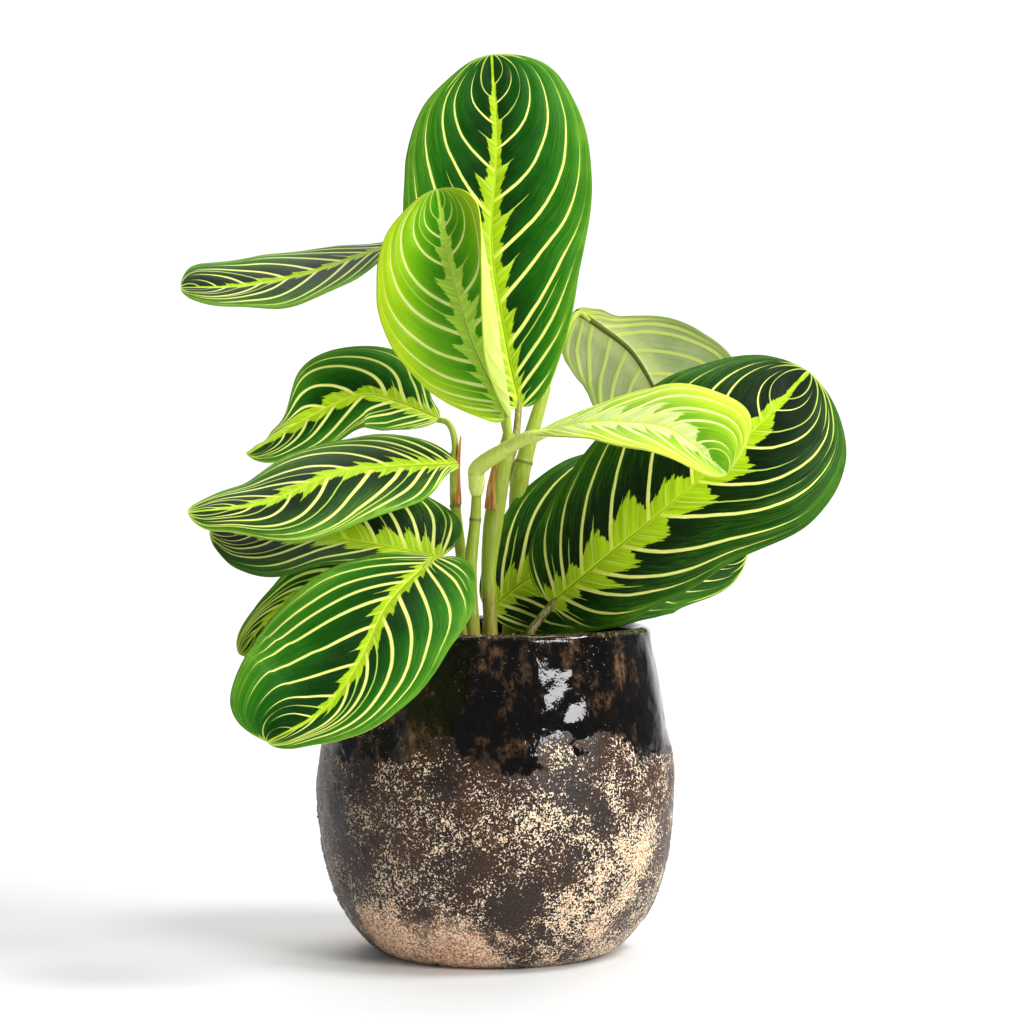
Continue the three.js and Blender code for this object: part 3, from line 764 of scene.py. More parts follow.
# %% Grow the stems
# Each stem's path, its radii from the soil to its tip, and the gap between its rings.
STEMS = {
    "stem_front": (
        [(-9.5, -14, 100), (-9.4, -14, 131), (-10.6, -14, 160), (-8.6, -13.6, 182), (-7.9, -14, 199)],
        [3.1, 3.3, 3, 2.7, 2.7, 2.3, 1.8],
        82,
    ),
    "stem_middle": (
        [(-2.5, -2.5, 100), (-2.2, -2.5, 131), (-3, -3, 162), (1.2, -4, 196), (5.6, -7, 218)],
        [2.9, 3, 2.9, 3.1, 4.2, 4, 2.6],
        NO_RINGS,
    ),
    "stem_back": (
        [(5.5, 14, 100), (5.5, 14, 131), (8.5, 14.5, 168), (10.4, 15, 199), (21, 17, 238)],
        [3, 3.1, 3.2, 3.4, 4, 3.3, 2.4],
        106,
    ),
    "stem_left": (
        [(-9.6, -2.8, 100), (-9.6, -2.8, 131), (-14.3, -4.5, 164), (-17.2, -5, 189), (-17.6, -5, 210)],
        [2.2, 2.3, 2.2, 2.2, 2.4, 2.1, 1.6],
        88,
    ),
}

for seed, (name, (knots, radii, ring_gap)) in enumerate(STEMS.items()):
    coat = cane_material(name, CANE_GREEN, CANE_ROOT, 17 * seed, ring_gap)
    stem = cane(name + "_cane", knots, radii, CANE_STEPS, coat, ring_gap, RING_HIGH)
    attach(stem, "root")
    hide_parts(name)
    print(stem.name, len(stem.data.polygons), "faces")

# %% [markdown]
# ### Papery sheaths
# Where a stalk leaves a cane, its foot wraps the cane in a thin sheath that dries to brown paper.
# A cone round the cane would look like a sleeve, so each sheath is a strip that starts as most of a
# tube and narrows to a free tip. The strip and the leaf blades further on are thin closed sheets,
# so one helper sets out the faces of both.


# %% Set out the faces of a thin sheet
def sheet_faces(rows, columns):
    """Faces of the upper layer, of the lower layer and of the edge that closes them."""
    layer = rows * columns
    grid = np.arange(layer).reshape(rows, columns)
    corners = [grid[:-1, :-1], grid[:-1, 1:], grid[1:, 1:], grid[1:, :-1]]
    upper = np.stack(corners, axis=-1).reshape(-1, 4)
    border = np.concatenate([grid[0, :-1], grid[:-1, -1], grid[-1, :0:-1], grid[:0:-1, 0]])
    onward = np.roll(border, -1)
    edge = np.stack([border, border + layer, onward + layer, onward], axis=1)
    return upper.tolist(), (upper[:, ::-1] + layer).tolist(), edge.tolist()


print("a sheet of 3 by 3 points has", sum(map(len, sheet_faces(3, 3))), "faces")

# %% Wrap the joints in sheaths
SHEATH_ROWS = 40
SHEATH_COLUMNS = 25
SHEATH_SKIN = 0.25


def dry_material():
    coat = Coat("dry sheath")
    x, y, z = coat.split(coat.place)
    fibres = coat.noise(coat.vector(x, y, z * 0.1), 900, 3, 0.65)
    browns = [(0.32, (138, 76, 30)), (0.5, (198, 132, 56)), (0.68, (224, 184, 116))]
    return coat.finish(coat.ramp(fibres, browns), 0.7, coat.bump(fibres, 0.2, 0.8))


def sheath(name, knots, radius, half_turn, turn, flare):
    """A strip wrapped about the knots. It covers half_turn degrees to each side of turn."""
    centres, along = curve_through(knots, SHEATH_ROWS)
    side = np.cross(along, (0, 1, 0))
    side /= np.linalg.norm(side, axis=1, keepdims=True)
    front = np.cross(side, along)
    points = []
    for layer in (1, -1):
        for i, t in enumerate(np.linspace(0, 1, SHEATH_ROWS)):
            open_angle = math.radians(half_turn) * (1 - t) ** 0.6
            reach = radius * (1 - 0.25 * t) + flare * t**3 + layer * SHEATH_SKIN / 2
            for share in np.linspace(-1, 1, SHEATH_COLUMNS):
                angle = math.radians(turn) + open_angle * share
                out = reach + 0.25 * noise.noise(Vector((share * 2, t * 5, turn)))
                points.append(centres[i] + out * (math.cos(angle) * side[i] + math.sin(angle) * front[i]))
    upper, lower, edge = sheet_faces(SHEATH_ROWS, SHEATH_COLUMNS)
    made = smooth(mesh_object(name, points, upper + lower + edge, [dry]))
    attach(made, "root")
    print(made.name, len(made.data.polygons), "faces")


dry = dry_material()
sheath("sheath_middle", [(-0.6, -4, 186), (0.4, -4.4, 196), (3.2, -6, 208)], 4.3, 62, -40, 0.5)
sheath("sheath_left", [(-17, -5, 188), (-17.4, -5, 202), (-17, -5.5, 217)], 2.5, 75, -150, 0.7)

# %% [markdown]
# ## The leaves
# Each blade hangs on a midrib, which is a smooth curve. At each place along it the blade has a half
# width to the left and to the right. Each half is folded up from the rib, bends on towards its edge
# and waves a little. A plane could be bent into each leaf with modifiers, one after the other. A
# rule and a table are shorter, keep the family likeness of the twelve leaves, and give the same
# form as the frame's solids, because the table holds the same values. Lists of three run from the
# base over the middle to the tip. Where the halves differ there is a pair of lists, for the left
# and the right half.

# %% List the leaves
LEAVES = {
    "leaf_top": dict(
        rib=[[10, 6, 229], [4, 4, 257], [-2, 6, 298], [0, 10, 338], [-2, 24, 380]],
        faces=[[0.1, -1, 0.1], [0, -1, 0.1], [0, -1, 0.35]],
        widths=[[17, 32, 37, 38, 31, 17], [18, 33, 41, 40, 34, 24]],
        lobes=[4, 6],
        shoulders=[0, 3],
        fold=[10, 2, 4],
        curl=[[8, -8, -16], [8, -10, -14]],
        wave=[1.2, 2.6, 0.1],
        stalk=dict(points=[[1.2, -4, 196], [7, 0, 210], [9, 4, 222]], radii=[1.7, 1.5]),
    ),
    "leaf_young_left": dict(
        rib=[[5, -10, 225], [-8, -22, 251], [-14, -30, 269], [-20, -32, 293], [-24, -28, 318]],
        faces=[[-0.1, -1, 0.1], [-0.15, -1, 0.1], [-0.1, -1, 0.3]],
        widths=[[12, 26, 33.5, 31, 24, 13], [14, 30, 38, 33, 25, 15]],
        lobes=[6, 0],
        fold=[[6, 4, 0], [5, 5, 5]],
        curl=[[4, -6, -12], [172, 160, 45]],
        wave=[0.8, 2.2, 0.4],
        stalk=dict(points=[[1.2, -4, 196], [4, -6, 208], [5, -8, 217]], radii=[2, 1.7]),
        young=True,
    ),
    "leaf_far_left": dict(
        rib=[[-40, 33, 301], [-60, 30, 294], [-84, 27, 286], [-110, 23, 281], [-135, 20, 280]],
        faces=[[0, -0.2, 0.98], [0, -0.46, 0.9], [-0.2, -0.62, 0.76]],
        widths=[[10, 20, 24.5, 17.5, 15, 9], [12, 20, 27, 20, 18, 14]],
        fold=[[-2, -6, 8], [6, 4, 16]],
        curl=[-6, -10, -12],
        wave=[1, 2.4, 0.2],
        stalk=dict(points=[[8.5, 14.5, 168], [4, 22, 220], [-18, 33, 285]], radii=[1.6, 1.3]),
    ),
    "leaf_left_arched": dict(
        rib=[[-24, -4, 224], [-41, 2, 231], [-57, 5, 234], [-78, 2, 225], [-104, -10, 209]],
        faces=[[0, -0.8, 0.6], [0, -0.75, 0.65], [-0.1, -0.9, 0.4]],
        widths=[[12, 18, 17, 17, 14, 9], [9, 24, 27, 10, 3, 1.5]],
        fold=[8, 6, 10],
        curl=[-10, -16, -10],
        wave=[1, 2.3, 0.3],
        stalk=dict(points=[[-17.6, -5, 204], [-17.4, -5, 215], [-20, -5, 222]], radii=[1.4, 1.3]),
    ),
    "leaf_left": dict(
        rib=[[-16, -12, 205], [-41, -34, 204], [-66, -50, 201], [-92, -63, 190], [-122, -69, 186]],
        faces=[[0.5, -0.5, 0.7], [0.1, -0.55, 0.8], [0, -0.65, 0.75]],
        widths=[[8, 23, 26, 24, 13, 9], [14, 23, 23, 22, 17, 8]],
        fold=[16, -12, -4],
        curl=[-10, -20, -10],
        wave=[0.8, 2.2, 0.6],
        stalk=dict(points=[[-17.2, -5, 189], [-18, -8, 199], [-17, -10.5, 203.5]], radii=[1.4, 1.3]),
    ),
    "leaf_left_low": dict(
        rib=[[-23, -18, 166], [-46, -22, 171], [-71, -26, 175], [-94, -27, 177], [-118, -25, 178]],
        faces=[[0, -0.75, 0.66], [0, -0.65, 0.75], [0, -0.8, 0.6]],
        widths=[[12, 18, 21, 26, 20.5, 11], [20, 29, 31, 27, 20, 11]],
        lobes=[4, 20],
        fold=[36, 18, 4],
        curl=[-6, -10, -12],
        wave=[0.8, 2.3, 0.1],
        stalk=dict(points=[[-15, -20, 106], [-16, -20, 134], [-21, -19, 156]], radii=[1.5, 1.3]),
    ),
    "leaf_left_small": dict(
        rib=[[-31, 6, 165], [-55, -3, 164], [-77, -11, 154], [-96, -17, 139], [-106, -21, 126]],
        faces=[[0, -0.7, 0.7], [0, -0.7, 0.7], [-0.2, -0.9, 0.4]],
        widths=[[10, 15, 16, 14, 11, 8], [9, 14, 13, 9.5, 7.5, 5]],
        fold=[20, 18, 14],
        curl=[-8, -10, -8],
        wave=[0.8, 2.2, 0.5],
        stalk=dict(points=[[-15, 5, 106], [-16, 5, 134], [-24, 6, 154]], radii=[1.4, 1.2]),
    ),
    "leaf_front_left": dict(
        sweep=1.7,
        rib=[[-25, -44, 167], [-42, -72, 150], [-54, -94, 126], [-67, -104, 110], [-87, -110, 99]],
        faces=[[-0.1, -0.6, 0.8], [-0.1, -0.8, 0.55], [-0.2, -0.9, 0.3]],
        widths=[[20, 33, 31, 22.5, 11.5, 6.5], [22.5, 34.5, 44, 42.5, 38, 24]],
        lobes=[16, 4],
        shoulders=[0, 16],
        fold=[6, 4, 4],
        curl=[-8, -14, -12],
        wave=[0.8, 2.4, 0.2],
        stalk=dict(points=[[-13, -29, 106], [-13, -29, 134], [-19, -35, 158]], radii=[1.6, 1.4]),
    ),
    "leaf_right_front": dict(
        rib=[[23, -14, 147], [48, -30, 169], [74, -40, 191], [102, -40, 216], [129, -26, 243]],
        faces=[[-0.2, -1, 0.3], [-0.2, -1, 0.3], [0, -1, 0.45]],
        widths=[[27, 39, 44.5, 42.5, 34.5, 22], [22.5, 31, 35.5, 44, 37, 22]],
        lobes=[12, 4],
        fold=[6, 2, 4],
        curl=[-6, -12, -16],
        wave=[0.8, 2.6, 0.4],
        stalk=dict(points=[[14, -18, 104], [14, -18, 132], [18, -16, 140]], radii=[2, 1.7]),
    ),
    "leaf_right_low": dict(
        rib=[[-3, 4, 143], [13, 4, 156], [41, 12, 169], [74, 24, 175], [109, 34, 167]],
        faces=[[-0.1, -1, 0], [-0.1, -1, 0.2], [0, -0.9, 0.4]],
        widths=[[16, 34, 41, 38, 28, 16], [22, 33, 36, 35, 28, 18]],
        lobes=[4, 4],
        fold=[6, 4, 4],
        curl=[-6, -12, -16],
        wave=[0.8, 2.4, 0.3],
        stalk=dict(points=[[-4.5, 3.5, 106], [-4.5, 3.5, 132], [-4.2, 3.8, 138]], radii=[1.5, 1.4]),
    ),
    "leaf_back_right": dict(
        rib=[[34, 30, 271], [45, 34, 264], [59, 39, 253], [70, 44, 235], [78, 47, 214]],
        faces=[[0, 0.9, 0.4], [0, 0.9, 0.4], [0.3, 0.9, 0.3]],
        widths=[[18, 26, 27.5, 27, 21, 12], [6, 13, 30, 37, 32, 20]],
        lobes=[4, 0],
        fold=[10, 8, 4],
        curl=[-8, -14, -14],
        wave=[1, 2.5, 0.2],
        stalk=dict(points=[[19.2, 16.6, 232], [23, 18.5, 243], [30, 25, 262]], radii=[1.7, 1.5]),
    ),
    "leaf_young_front": dict(
        rib=[[17, -42, 218], [35, -56, 222], [53, -66, 222], [71, -74, 218], [91, -80, 201]],
        faces=[[0, -0.45, 0.89], [0, -0.5, 0.86], [0.3, -0.85, 0.5]],
        widths=[[12, 21, 24, 26.5, 27, 19], [7, 15, 19, 20, 15, 10]],
        fold=[0, 4, 34],
        curl=[0, -16, -16],
        wave=[0.6, 2.2, 0.1],
        stalk=dict(
            points=[[-8.1, -14, 192], [-8, -14.6, 198], [-7.4, -17.4, 203.5], [2, -27, 210], [11, -36, 215]],
            radii=[3.5, 2.8],
        ),
        young=True,
    ),
}
print("leaves:", len(LEAVES))


# %% Write the leaf's form as a rule
WAVE_LEAD = 0.37
LOBE_FADE = 5
SHOULDER_FADE = 9
NARROWEST = 0.9
RAGGED = 0.5
WIDTH_PLACES = np.array([0, 0.1, 0.3, 0.5, 0.7, 0.85, 0.95, 1])


def along_leaf(values, u):
    """A value that runs from the base over the middle to the tip."""
    base, middle, tip = np.asarray(values, float)
    u = u[:, None] if base.ndim else u
    return base * (1 - u) ** 2 + 2 * middle * u * (1 - u) + tip * u**2


def half_width(widths, u):
    squares = np.array([0, *[w * w for w in widths], 0], float)
    steps = np.diff(WIDTH_PLACES)
    slopes = np.diff(squares) / steps
    tangents = np.concatenate([slopes[:1], (slopes[1:] + slopes[:-1]) / 2, slopes[-1:]])
    i = np.clip(np.searchsorted(WIDTH_PLACES, u, side="right") - 1, 0, len(steps) - 1)
    t = (u - WIDTH_PLACES[i]) / steps[i]
    square = (
        squares[i] * (1 + 2 * t) * (1 - t) ** 2
        + tangents[i] * steps[i] * t * (1 - t) ** 2
        + squares[i + 1] * t * t * (3 - 2 * t)
        + tangents[i + 1] * steps[i] * t * t * (t - 1)
    )
    return np.sqrt(np.maximum(square, NARROWEST**2))


def rib_frame(leaf, u):
    centre, along = curve_through(leaf["rib"], u)
    face = along_leaf(leaf["faces"], u)
    face = face - (face * along).sum(axis=1, keepdims=True) * along
    face /= np.linalg.norm(face, axis=1, keepdims=True)
    return centre, along, face, np.cross(along, face)


def of_half(values, side):
    """A half's own list from a pair of lists, or the one list that both halves share."""
    return values[side] if isinstance(values[0], list) else values


def half_blade(leaf, side, u, v, seed):
    """Points and normals of one half of the blade's middle surface, as rows along and columns out."""
    centre, along, face, right = rib_frame(leaf, u)
    outward = (-1, 1)[side]
    widths = leaf["widths"][side]
    width = half_width(widths, u)
    ends = np.sqrt(np.maximum(np.sin(math.pi * u), 0))[:, None]
    ragged = np.array([noise.noise(Vector((9 * k, 3.1 * seed, side))) for k in u])[:, None]
    fold = np.radians(along_leaf(of_half(leaf["fold"], side), u))[:, None]
    curl = np.radians(along_leaf(of_half(leaf["curl"], side), u))[:, None] * v
    chord = width[:, None] * v * np.sinc(curl / (2 * math.pi)) + RAGGED * ragged * v**4 * ends
    height, count, phase = leaf["wave"]
    turn = 2 * math.pi * (count * u + phase + WAVE_LEAD * side)
    ripple = height * v**2 * ends * np.sin(turn)[:, None]
    lobe = leaf.get("lobes", [0, 0])[side] * width / widths[0]
    shoulder = leaf.get("shoulders", [0, 0])[side] * width / widths[5]
    onward = v**2 * (shoulder * u**SHOULDER_FADE - lobe * (1 - u) ** LOBE_FADE)[:, None]
    lift = chord * np.sin(fold + curl / 2) + ripple
    points = (
        centre[:, None]
        + right[:, None] * (outward * chord * np.cos(fold + curl / 2))[..., None]
        + face[:, None] * lift[..., None]
        + along[:, None] * onward[..., None]
    )
    normals = face[:, None] * np.cos(fold + curl)[..., None]
    normals = normals - right[:, None] * (outward * np.sin(fold + curl))[..., None]
    return points, normals


print("widest half:", max(max(widths) for leaf in LEAVES.values() for widths in leaf["widths"]), "mm")

# %% [markdown]
# ### Where the veins run
# A vein leaves the midrib at some place and sweeps out and on towards the tip. So each point of the
# blade can be told which place of the rib its vein came from. The veins are counted along the rib,
# and the count, called the phase, is a whole number on each main vein and a half between two. The
# phase, its spacing in millimetres, the distance from the rib and the share of the way to the edge
# are stored on the mesh, and the material draws every vein from them. Veins could be painted leaf
# by leaf instead. The rule bends them with the blade, and the quilting below follows the same lines.


# %% Follow the veins
VEIN_STARTS = [-0.6, -0.3, -0.12, -0.04, 0.018, 0.06, 0.13, 0.245, 0.375, 0.52, 0.665, 0.8, 0.92, 1.05]
VEIN_JITTER = 0.14
RIGHT_LEAD = 0.3
SIDE_STEP = 100
# For veins that start at each of these places: the share of the half width they tend to, and how
# far along the rib they go while they turn.
SOURCE_PLACES = [-1, -0.2, -0.05, 0.015, 0.05, 0.125, 0.245, 0.36, 0.475, 0.655, 0.81, 0.92, 1]
OUTER_SHARES = [1.25, 1.1, 1.03, 1, 1, 0.995, 0.98, 0.95, 0.87, 0.68, 0.42, 0.22, 0.06]
TURN_LENGTHS = [0.05, 0.05, 0.045, 0.06, 0.1, 0.145, 0.16, 0.175, 0.19, 0.12, 0.06, 0.03, 0.02]


def vein_phase(u, v, side, seed, sweep):
    """The count of veins at each point of one half. It rises by one from vein to vein."""
    chance = np.random.default_rng(40 * seed + side)
    gaps = np.diff(VEIN_STARTS, append=1.2)
    shifts = chance.uniform(-VEIN_JITTER, VEIN_JITTER, len(gaps)) + RIGHT_LEAD * side
    starts = np.array(VEIN_STARTS) + gaps * shifts
    sources = np.linspace(1, -1, 1600)
    outer = np.interp(sources, SOURCE_PLACES, OUTER_SHARES)
    turn = np.interp(sources, SOURCE_PLACES, TURN_LENGTHS) * sweep
    phase = np.empty((len(u), len(v)))
    for i, place in enumerate(u):
        passed = sources <= place
        share = outer[passed] * (1 - np.exp(-(place - sources[passed]) / turn[passed]))
        source = np.interp(v, np.maximum.accumulate(share), sources[passed])
        phase[i] = np.interp(source, starts, np.arange(len(starts)))
    return phase + SIDE_STEP * side


def phase_spacing(points, phase):
    """How many millimetres the phase takes to rise by one, from the surface itself."""
    by_row, by_column = np.gradient(points, axis=0), np.gradient(points, axis=1)
    rise_row, rise_column = np.gradient(phase, axis=0), np.gradient(phase, axis=1)
    rr, cc, rc = (by_row**2).sum(axis=2), (by_column**2).sum(axis=2), (by_row * by_column).sum(axis=2)
    area = np.maximum(rr * cc - rc * rc, 1e-6)
    steep = (cc * rise_row**2 - 2 * rc * rise_row * rise_column + rr * rise_column**2) / area
    return 1 / np.sqrt(np.maximum(steep, 1e-4))


print("veins:", len(VEIN_STARTS), "starts on each side")

# %% [markdown]
# ### The blade as a sheet
# The blade is a closed sheet 0.6 mm thick. Between two veins it puffs up like a quilt, the midrib
# is sunk into the upper side and stands out as a spine below. The puffs are small, but they catch
# the light along the whole leaf, which paint alone would not do. Rows and columns are close enough
# together for them: a leaf has some 50,000 triangles.

# %% Make a blade
FINE_THICKNESS = 0.6
PUFF = 0.34
RIB_DIP = 0.4
RIB_SPINE = 0.9
ROWS = 132
COLUMNS = 46
DRAWN = ("phase", "gap", "reach", "edge", "along")


def joined(left, right):
    """Both halves side by side. The rib belongs to both, so it is taken from one of them."""
    return np.concatenate([left[:, :0:-1], right], axis=1)


def blade(leaf, seed):
    """Points, faces, the side of each face, and the drawing values of one blade."""
    u = (1 - np.cos(np.linspace(0, math.pi, ROWS))) / 2
    v = np.concatenate([[0], np.linspace(0.012, 1, COLUMNS)])
    ends = np.clip(np.minimum(u, 1 - u) * 12, 0, 1)[:, None]
    halves = []
    for side in (0, 1):
        points, normals = half_blade(leaf, side, u, v, seed)
        phase = vein_phase(u, v, side, seed, leaf.get("sweep", 1.0))
        reach = np.cumsum(np.linalg.norm(np.diff(points, axis=1, prepend=points[:, :1]), axis=2), axis=1)
        puff = PUFF * np.abs(np.sin(math.pi * phase)) * np.clip(reach / 4, 0, 1) * np.clip((1 - v) * 6, 0, 1)
        dip = RIB_DIP * np.exp(-((reach / 0.9) ** 2)) * (1 - u)[:, None]
        spine = RIB_SPINE * np.exp(-((reach / 1.1) ** 2)) * (1 - 0.75 * u)[:, None]
        above = points + normals * (FINE_THICKNESS / 2 + (puff - dip) * ends)[..., None]
        below = points - normals * (FINE_THICKNESS / 2 + (spine - puff * 0.8) * ends)[..., None]
        edge, along = np.broadcast_arrays(v, u[:, None])
        halves.append([above, below, phase, phase_spacing(points, phase), reach, edge, along])
    above, below, *drawn = (joined(left, right) for left, right in zip(*halves))
    values = {key: np.tile(each.ravel(), 2) for key, each in zip(DRAWN, drawn)}
    upper, lower, edge = sheet_faces(*above.shape[:2])
    sides = [0] * len(upper) + [1] * len(lower) + [0] * len(edge)
    return np.concatenate([above.reshape(-1, 3), below.reshape(-1, 3)]), upper + lower + edge, sides, values


print("each point carries:", *DRAWN)

# %% [markdown]
# ### Colours of a leaf
# The upper side is drawn in layers. First comes the body colour, dark beside the rib and greener
# towards the edge, with fine stripes beside the veins. On it lie the lime feather with its saw
# teeth, then the pale veins, and then the rib. Old leaves are nearly black beside the rib and young
# ones a fresh green, painted lighter still for the light that shines through them, so each leaf
# names one of five body palettes. The palettes run from the rib to the edge. A lobe of the feather
# fills the gap between two veins, and its outline is a list of places between the veins with the
# length that it has there.

# %% Choose how each leaf looks
LOOKS = {
    "leaf_top": dict(feather=8, age=0.93, body="green", lobes="winged"),
    # The young left leaf's lime is lighter than its own colour: painted light for the shade it lies in.
    "leaf_young_left": dict(feather=9.5, age=0.08, body="young", lobes="winged", lime=(208, 255, 84)),
    "leaf_far_left": dict(feather=3.5, age=0.85, body="dull", lobes="winged"),
    "leaf_left_arched": dict(feather=5, age=0.82, body="green", lobes="broad"),
    "leaf_left": dict(feather=6, age=0.95, body="dull", lobes="winged"),
    "leaf_left_low": dict(feather=10, age=0.95, body="dark", lobes="broad"),
    "leaf_left_small": dict(feather=5, age=0.9, body="green", lobes="winged"),
    "leaf_front_left": dict(feather=4.8, age=0.92, body="green", lobes="winged"),
    "leaf_right_front": dict(feather=13, age=1.0, body="dark", lobes="broad"),
    "leaf_right_low": dict(feather=11, age=1.0, body="dark", lobes="broad"),
    "leaf_back_right": dict(feather=5, age=0.9, body="green", lobes="broad"),
    "leaf_young_front": dict(feather=12, age=0.0, body="fresh", lobes="broad", lime=(224, 240, 146)),
}
LOBE_SHAPES = {
    "broad": [(0, 0.55), (0.12, 0.66), (0.38, 1), (0.56, 0.9), (0.8, 0.52), (0.95, 0.3), (1, 0.5)],
    "winged": [
        (0, 0.4), (0.1, 0.5), (0.15, 0.36), (0.32, 0.62), (0.55, 1),
        (0.61, 0.4), (0.8, 0.3), (0.9, 0.4), (1, 0.4),
    ],
}
SECOND_AT = {"broad": 0.4, "winged": 0.55}
BODIES = {
    "dark": [(1, 22, 1), (3, 38, 1), (9, 58, 1), (26, 80, 2), (58, 108, 12)],
    "dull": [(6, 34, 3), (16, 56, 6), (38, 88, 12), (76, 128, 24), (120, 168, 44)],
    "green": [(4, 50, 1), (12, 84, 1), (28, 108, 2), (56, 126, 4), (92, 150, 28)],
    # The fresh and young palettes are the young leaves' own pale green, painted lighter for the light that
    # shines through them.
    "fresh": [(92, 152, 16), (140, 188, 22), (176, 210, 32), (206, 226, 50), (218, 234, 78)],
    "young": [(66, 148, 6), (118, 190, 4), (162, 216, 2), (190, 228, 8), (206, 236, 36)],
}
BODY_PLACES = (0.18, 0.5, 0.78, 0.95, 1.0)
LIME = (180, 218, 26)
print("looks:", len(LOOKS))


# %% Draw the body of a blade
def blended(old, young, age):
    """A colour between that of an old leaf and that of a young one."""
    return tuple(a * age + b * (1 - age) for a, b in zip(linear(*old), linear(*young)))


class BladeCoat(Coat):
    """A leaf's material. It also reads the drawing values that are stored on the blade."""

    def __init__(self, name, look, seed):
        super().__init__(name)
        self.look, self.seed, self.age = look, seed, look["age"]
        self.phase, self.gap, self.reach, self.edge, self.along = map(self.attribute, DRAWN)

    def combed(self, across, outward, shift, detail=3, roughness=0.7):
        """Noise drawn out along the veins."""
        run = self.vector(self.phase * across, self.edge * outward, shift * self.seed)
        return self.noise(run, 1.0, detail, roughness)


def body_colour(coat, clouds, stripes, fine):
    from_vein = coat.math("PINGPONG", coat.phase, 0.5)
    tone = coat.edge + (clouds - 0.5) * 0.45 + (stripes - 0.5) * 0.3 + coat.ease(from_vein, 0.3, 0.02) * 0.12
    body = coat.ramp(tone, list(zip(BODY_PLACES, BODIES[coat.look["body"]])))
    streak = coat.ease(fine, 0.48, 0.66) * coat.ease(coat.edge, 0.3, 0.95, 0.05, 0.5)
    return coat.mix(streak, body, blended((104, 150, 44), (206, 232, 96), coat.age))


print("body palettes:", len(BODIES))

# %% Draw the feather
TEETH = 5
DEEP_LIME = 0.7


def feather(coat, luck, part):
    """Where the feather lies. Its lobes have a length of their own, and saw teeth cut into them."""
    shape = [(at, (long, long, long, 1)) for at, long in LOBE_SHAPES[coat.look["lobes"]]]
    swell = coat.ease(coat.along, -0.02, 0.25, 0.5, 1.0)
    shrink = coat.ease(coat.along, 0.97, 0.6, 0.08, 1.0)
    teeth = coat.math("FRACT", (part + luck * 0.3) * TEETH)
    ragged = coat.noise(coat.vector(coat.phase * 24, 2.1 * coat.seed, coat.edge), 1.0, 2, 0.8)
    long = coat.ramp(part, shape) * (luck * 0.55 + 0.65) * (teeth * 0.22 + 0.78) * (ragged * 0.5 + 0.75)
    long *= swell * shrink * coat.look["feather"]
    past_rib = coat.ease(coat.along, 0.1, 1.0, 1.2, 0.3)
    return coat.ease(long + past_rib - coat.reach, -0.2, 0.25)


def lime_colour(coat, stripes):
    light = linear(*coat.look.get("lime", LIME))
    deep = tuple(DEEP_LIME * channel for channel in light[:3]) + (1,)
    return coat.mix(coat.ease(stripes, 0.35, 0.65), light, deep)


print("lobe outlines:", *LOBE_SHAPES)

# %% Draw the veins
LAST_VEIN = 11
WIDEST_SHARE = 0.12
TIP_CLEAR = 0.95


def lobe_veins(coat, luck, part):
    """Thin veins that run out of the tip of some lobes: where they are, and how strongly they show."""
    from_middle = coat.math("ABSOLUTE", part - SECOND_AT[coat.look["lobes"]]) * coat.gap
    end = coat.math("POWER", luck, 3.0) * 24 + 0.8 * coat.look["feather"]
    left = coat.ease(end - coat.reach, 0.0, 6.0)
    return coat.ease(from_middle / (left * 0.22 + 0.04), 1.4, 0.7) * coat.ease(left, 0.0, 0.2, 0.0, 0.8)


def main_veins(coat, luck, stripes):
    """The veins that taper and die out a little inside the edge, and how strongly they show."""
    end = luck * 0.06 + 0.9 - coat.ease(coat.along, 0.55, 0.95, 0.0, 0.09)
    to_end = coat.math("MINIMUM", end - coat.edge, (TIP_CLEAR - coat.along) * 1.2)
    half = coat.ease(to_end, 0.9, 0.15, 0.82, 0.56) * coat.ease(to_end, 0.0, 0.2, 0.25, 1.0)
    half *= coat.ease(coat.along, 0.5, 1.0, 1.0, 0.7)
    half = coat.math("MINIMUM", half, coat.gap * WIDEST_SHARE)
    vein = coat.ease(coat.math("PINGPONG", coat.phase, 0.5) * coat.gap / half, 1.3, 0.75)
    counted = coat.ease(coat.math("MODULO", coat.phase, SIDE_STEP), LAST_VEIN + 0.6, LAST_VEIN + 0.5)
    return vein, coat.ease(to_end, -0.02, 0.05) * coat.ease(stripes, 0.25, 0.5, 0.8, 1.0) * counted


print("last vein drawn:", LAST_VEIN)


# %% Put both sides of a blade together
def upper_side(name, look, seed):
    coat = BladeCoat(name + " upper side", look, seed)
    coat.phase += (coat.noise(coat.place, 70, 2) - 0.5) * 0.1
    part, count = coat.math("FRACT", coat.phase), coat.math("FLOOR", coat.phase)
    luck, luck_too = (coat.chance(count + (7.0 * seed + start)) for start in (0.5, 300.5))
    clouds = coat.noise(coat.place, 60, 3, 0.6)
    stripes = coat.combed(13, 1.6, 3.7)
    fine = coat.combed(44, 7, 1.3, 2)
    plume = feather(coat, luck, part)
    vein, shown = main_veins(coat, luck, stripes)
    pale = blended((236, 240, 130), (246, 255, 156), coat.age)
    rib_half = coat.ease(coat.along, 0.0, 1.0, 0.95, 0.3)
    rib = coat.ease(coat.reach / rib_half, 1.25, 0.85) * coat.ease(coat.along, 0.98, 0.9)
    groove = coat.ease(coat.reach, 0.32, 0.1) * coat.ease(coat.along, 0.75, 0.1)
    over = [
        (plume * 0.97, lime_colour(coat, stripes)),
        (lobe_veins(coat, luck_too, part), (196, 222, 92)),
        (vein * shown, coat.mix(plume * 0.75, pale, (206, 226, 52))),
        (rib, blended((190, 220, 40), (204, 240, 100), coat.age)),
        (groove * 0.7, (96, 108, 20)),
    ]
    colour = coat.layers(body_colour(coat, clouds, stripes, fine), over)
    relief = coat.bump(vein * 0.6 + fine * 0.6 + stripes * 0.5, 0.2, 0.9)
    return coat.finish(colour, coat.ease(clouds, 0.3, 0.7, 0.38, 0.5), relief, 0.12)


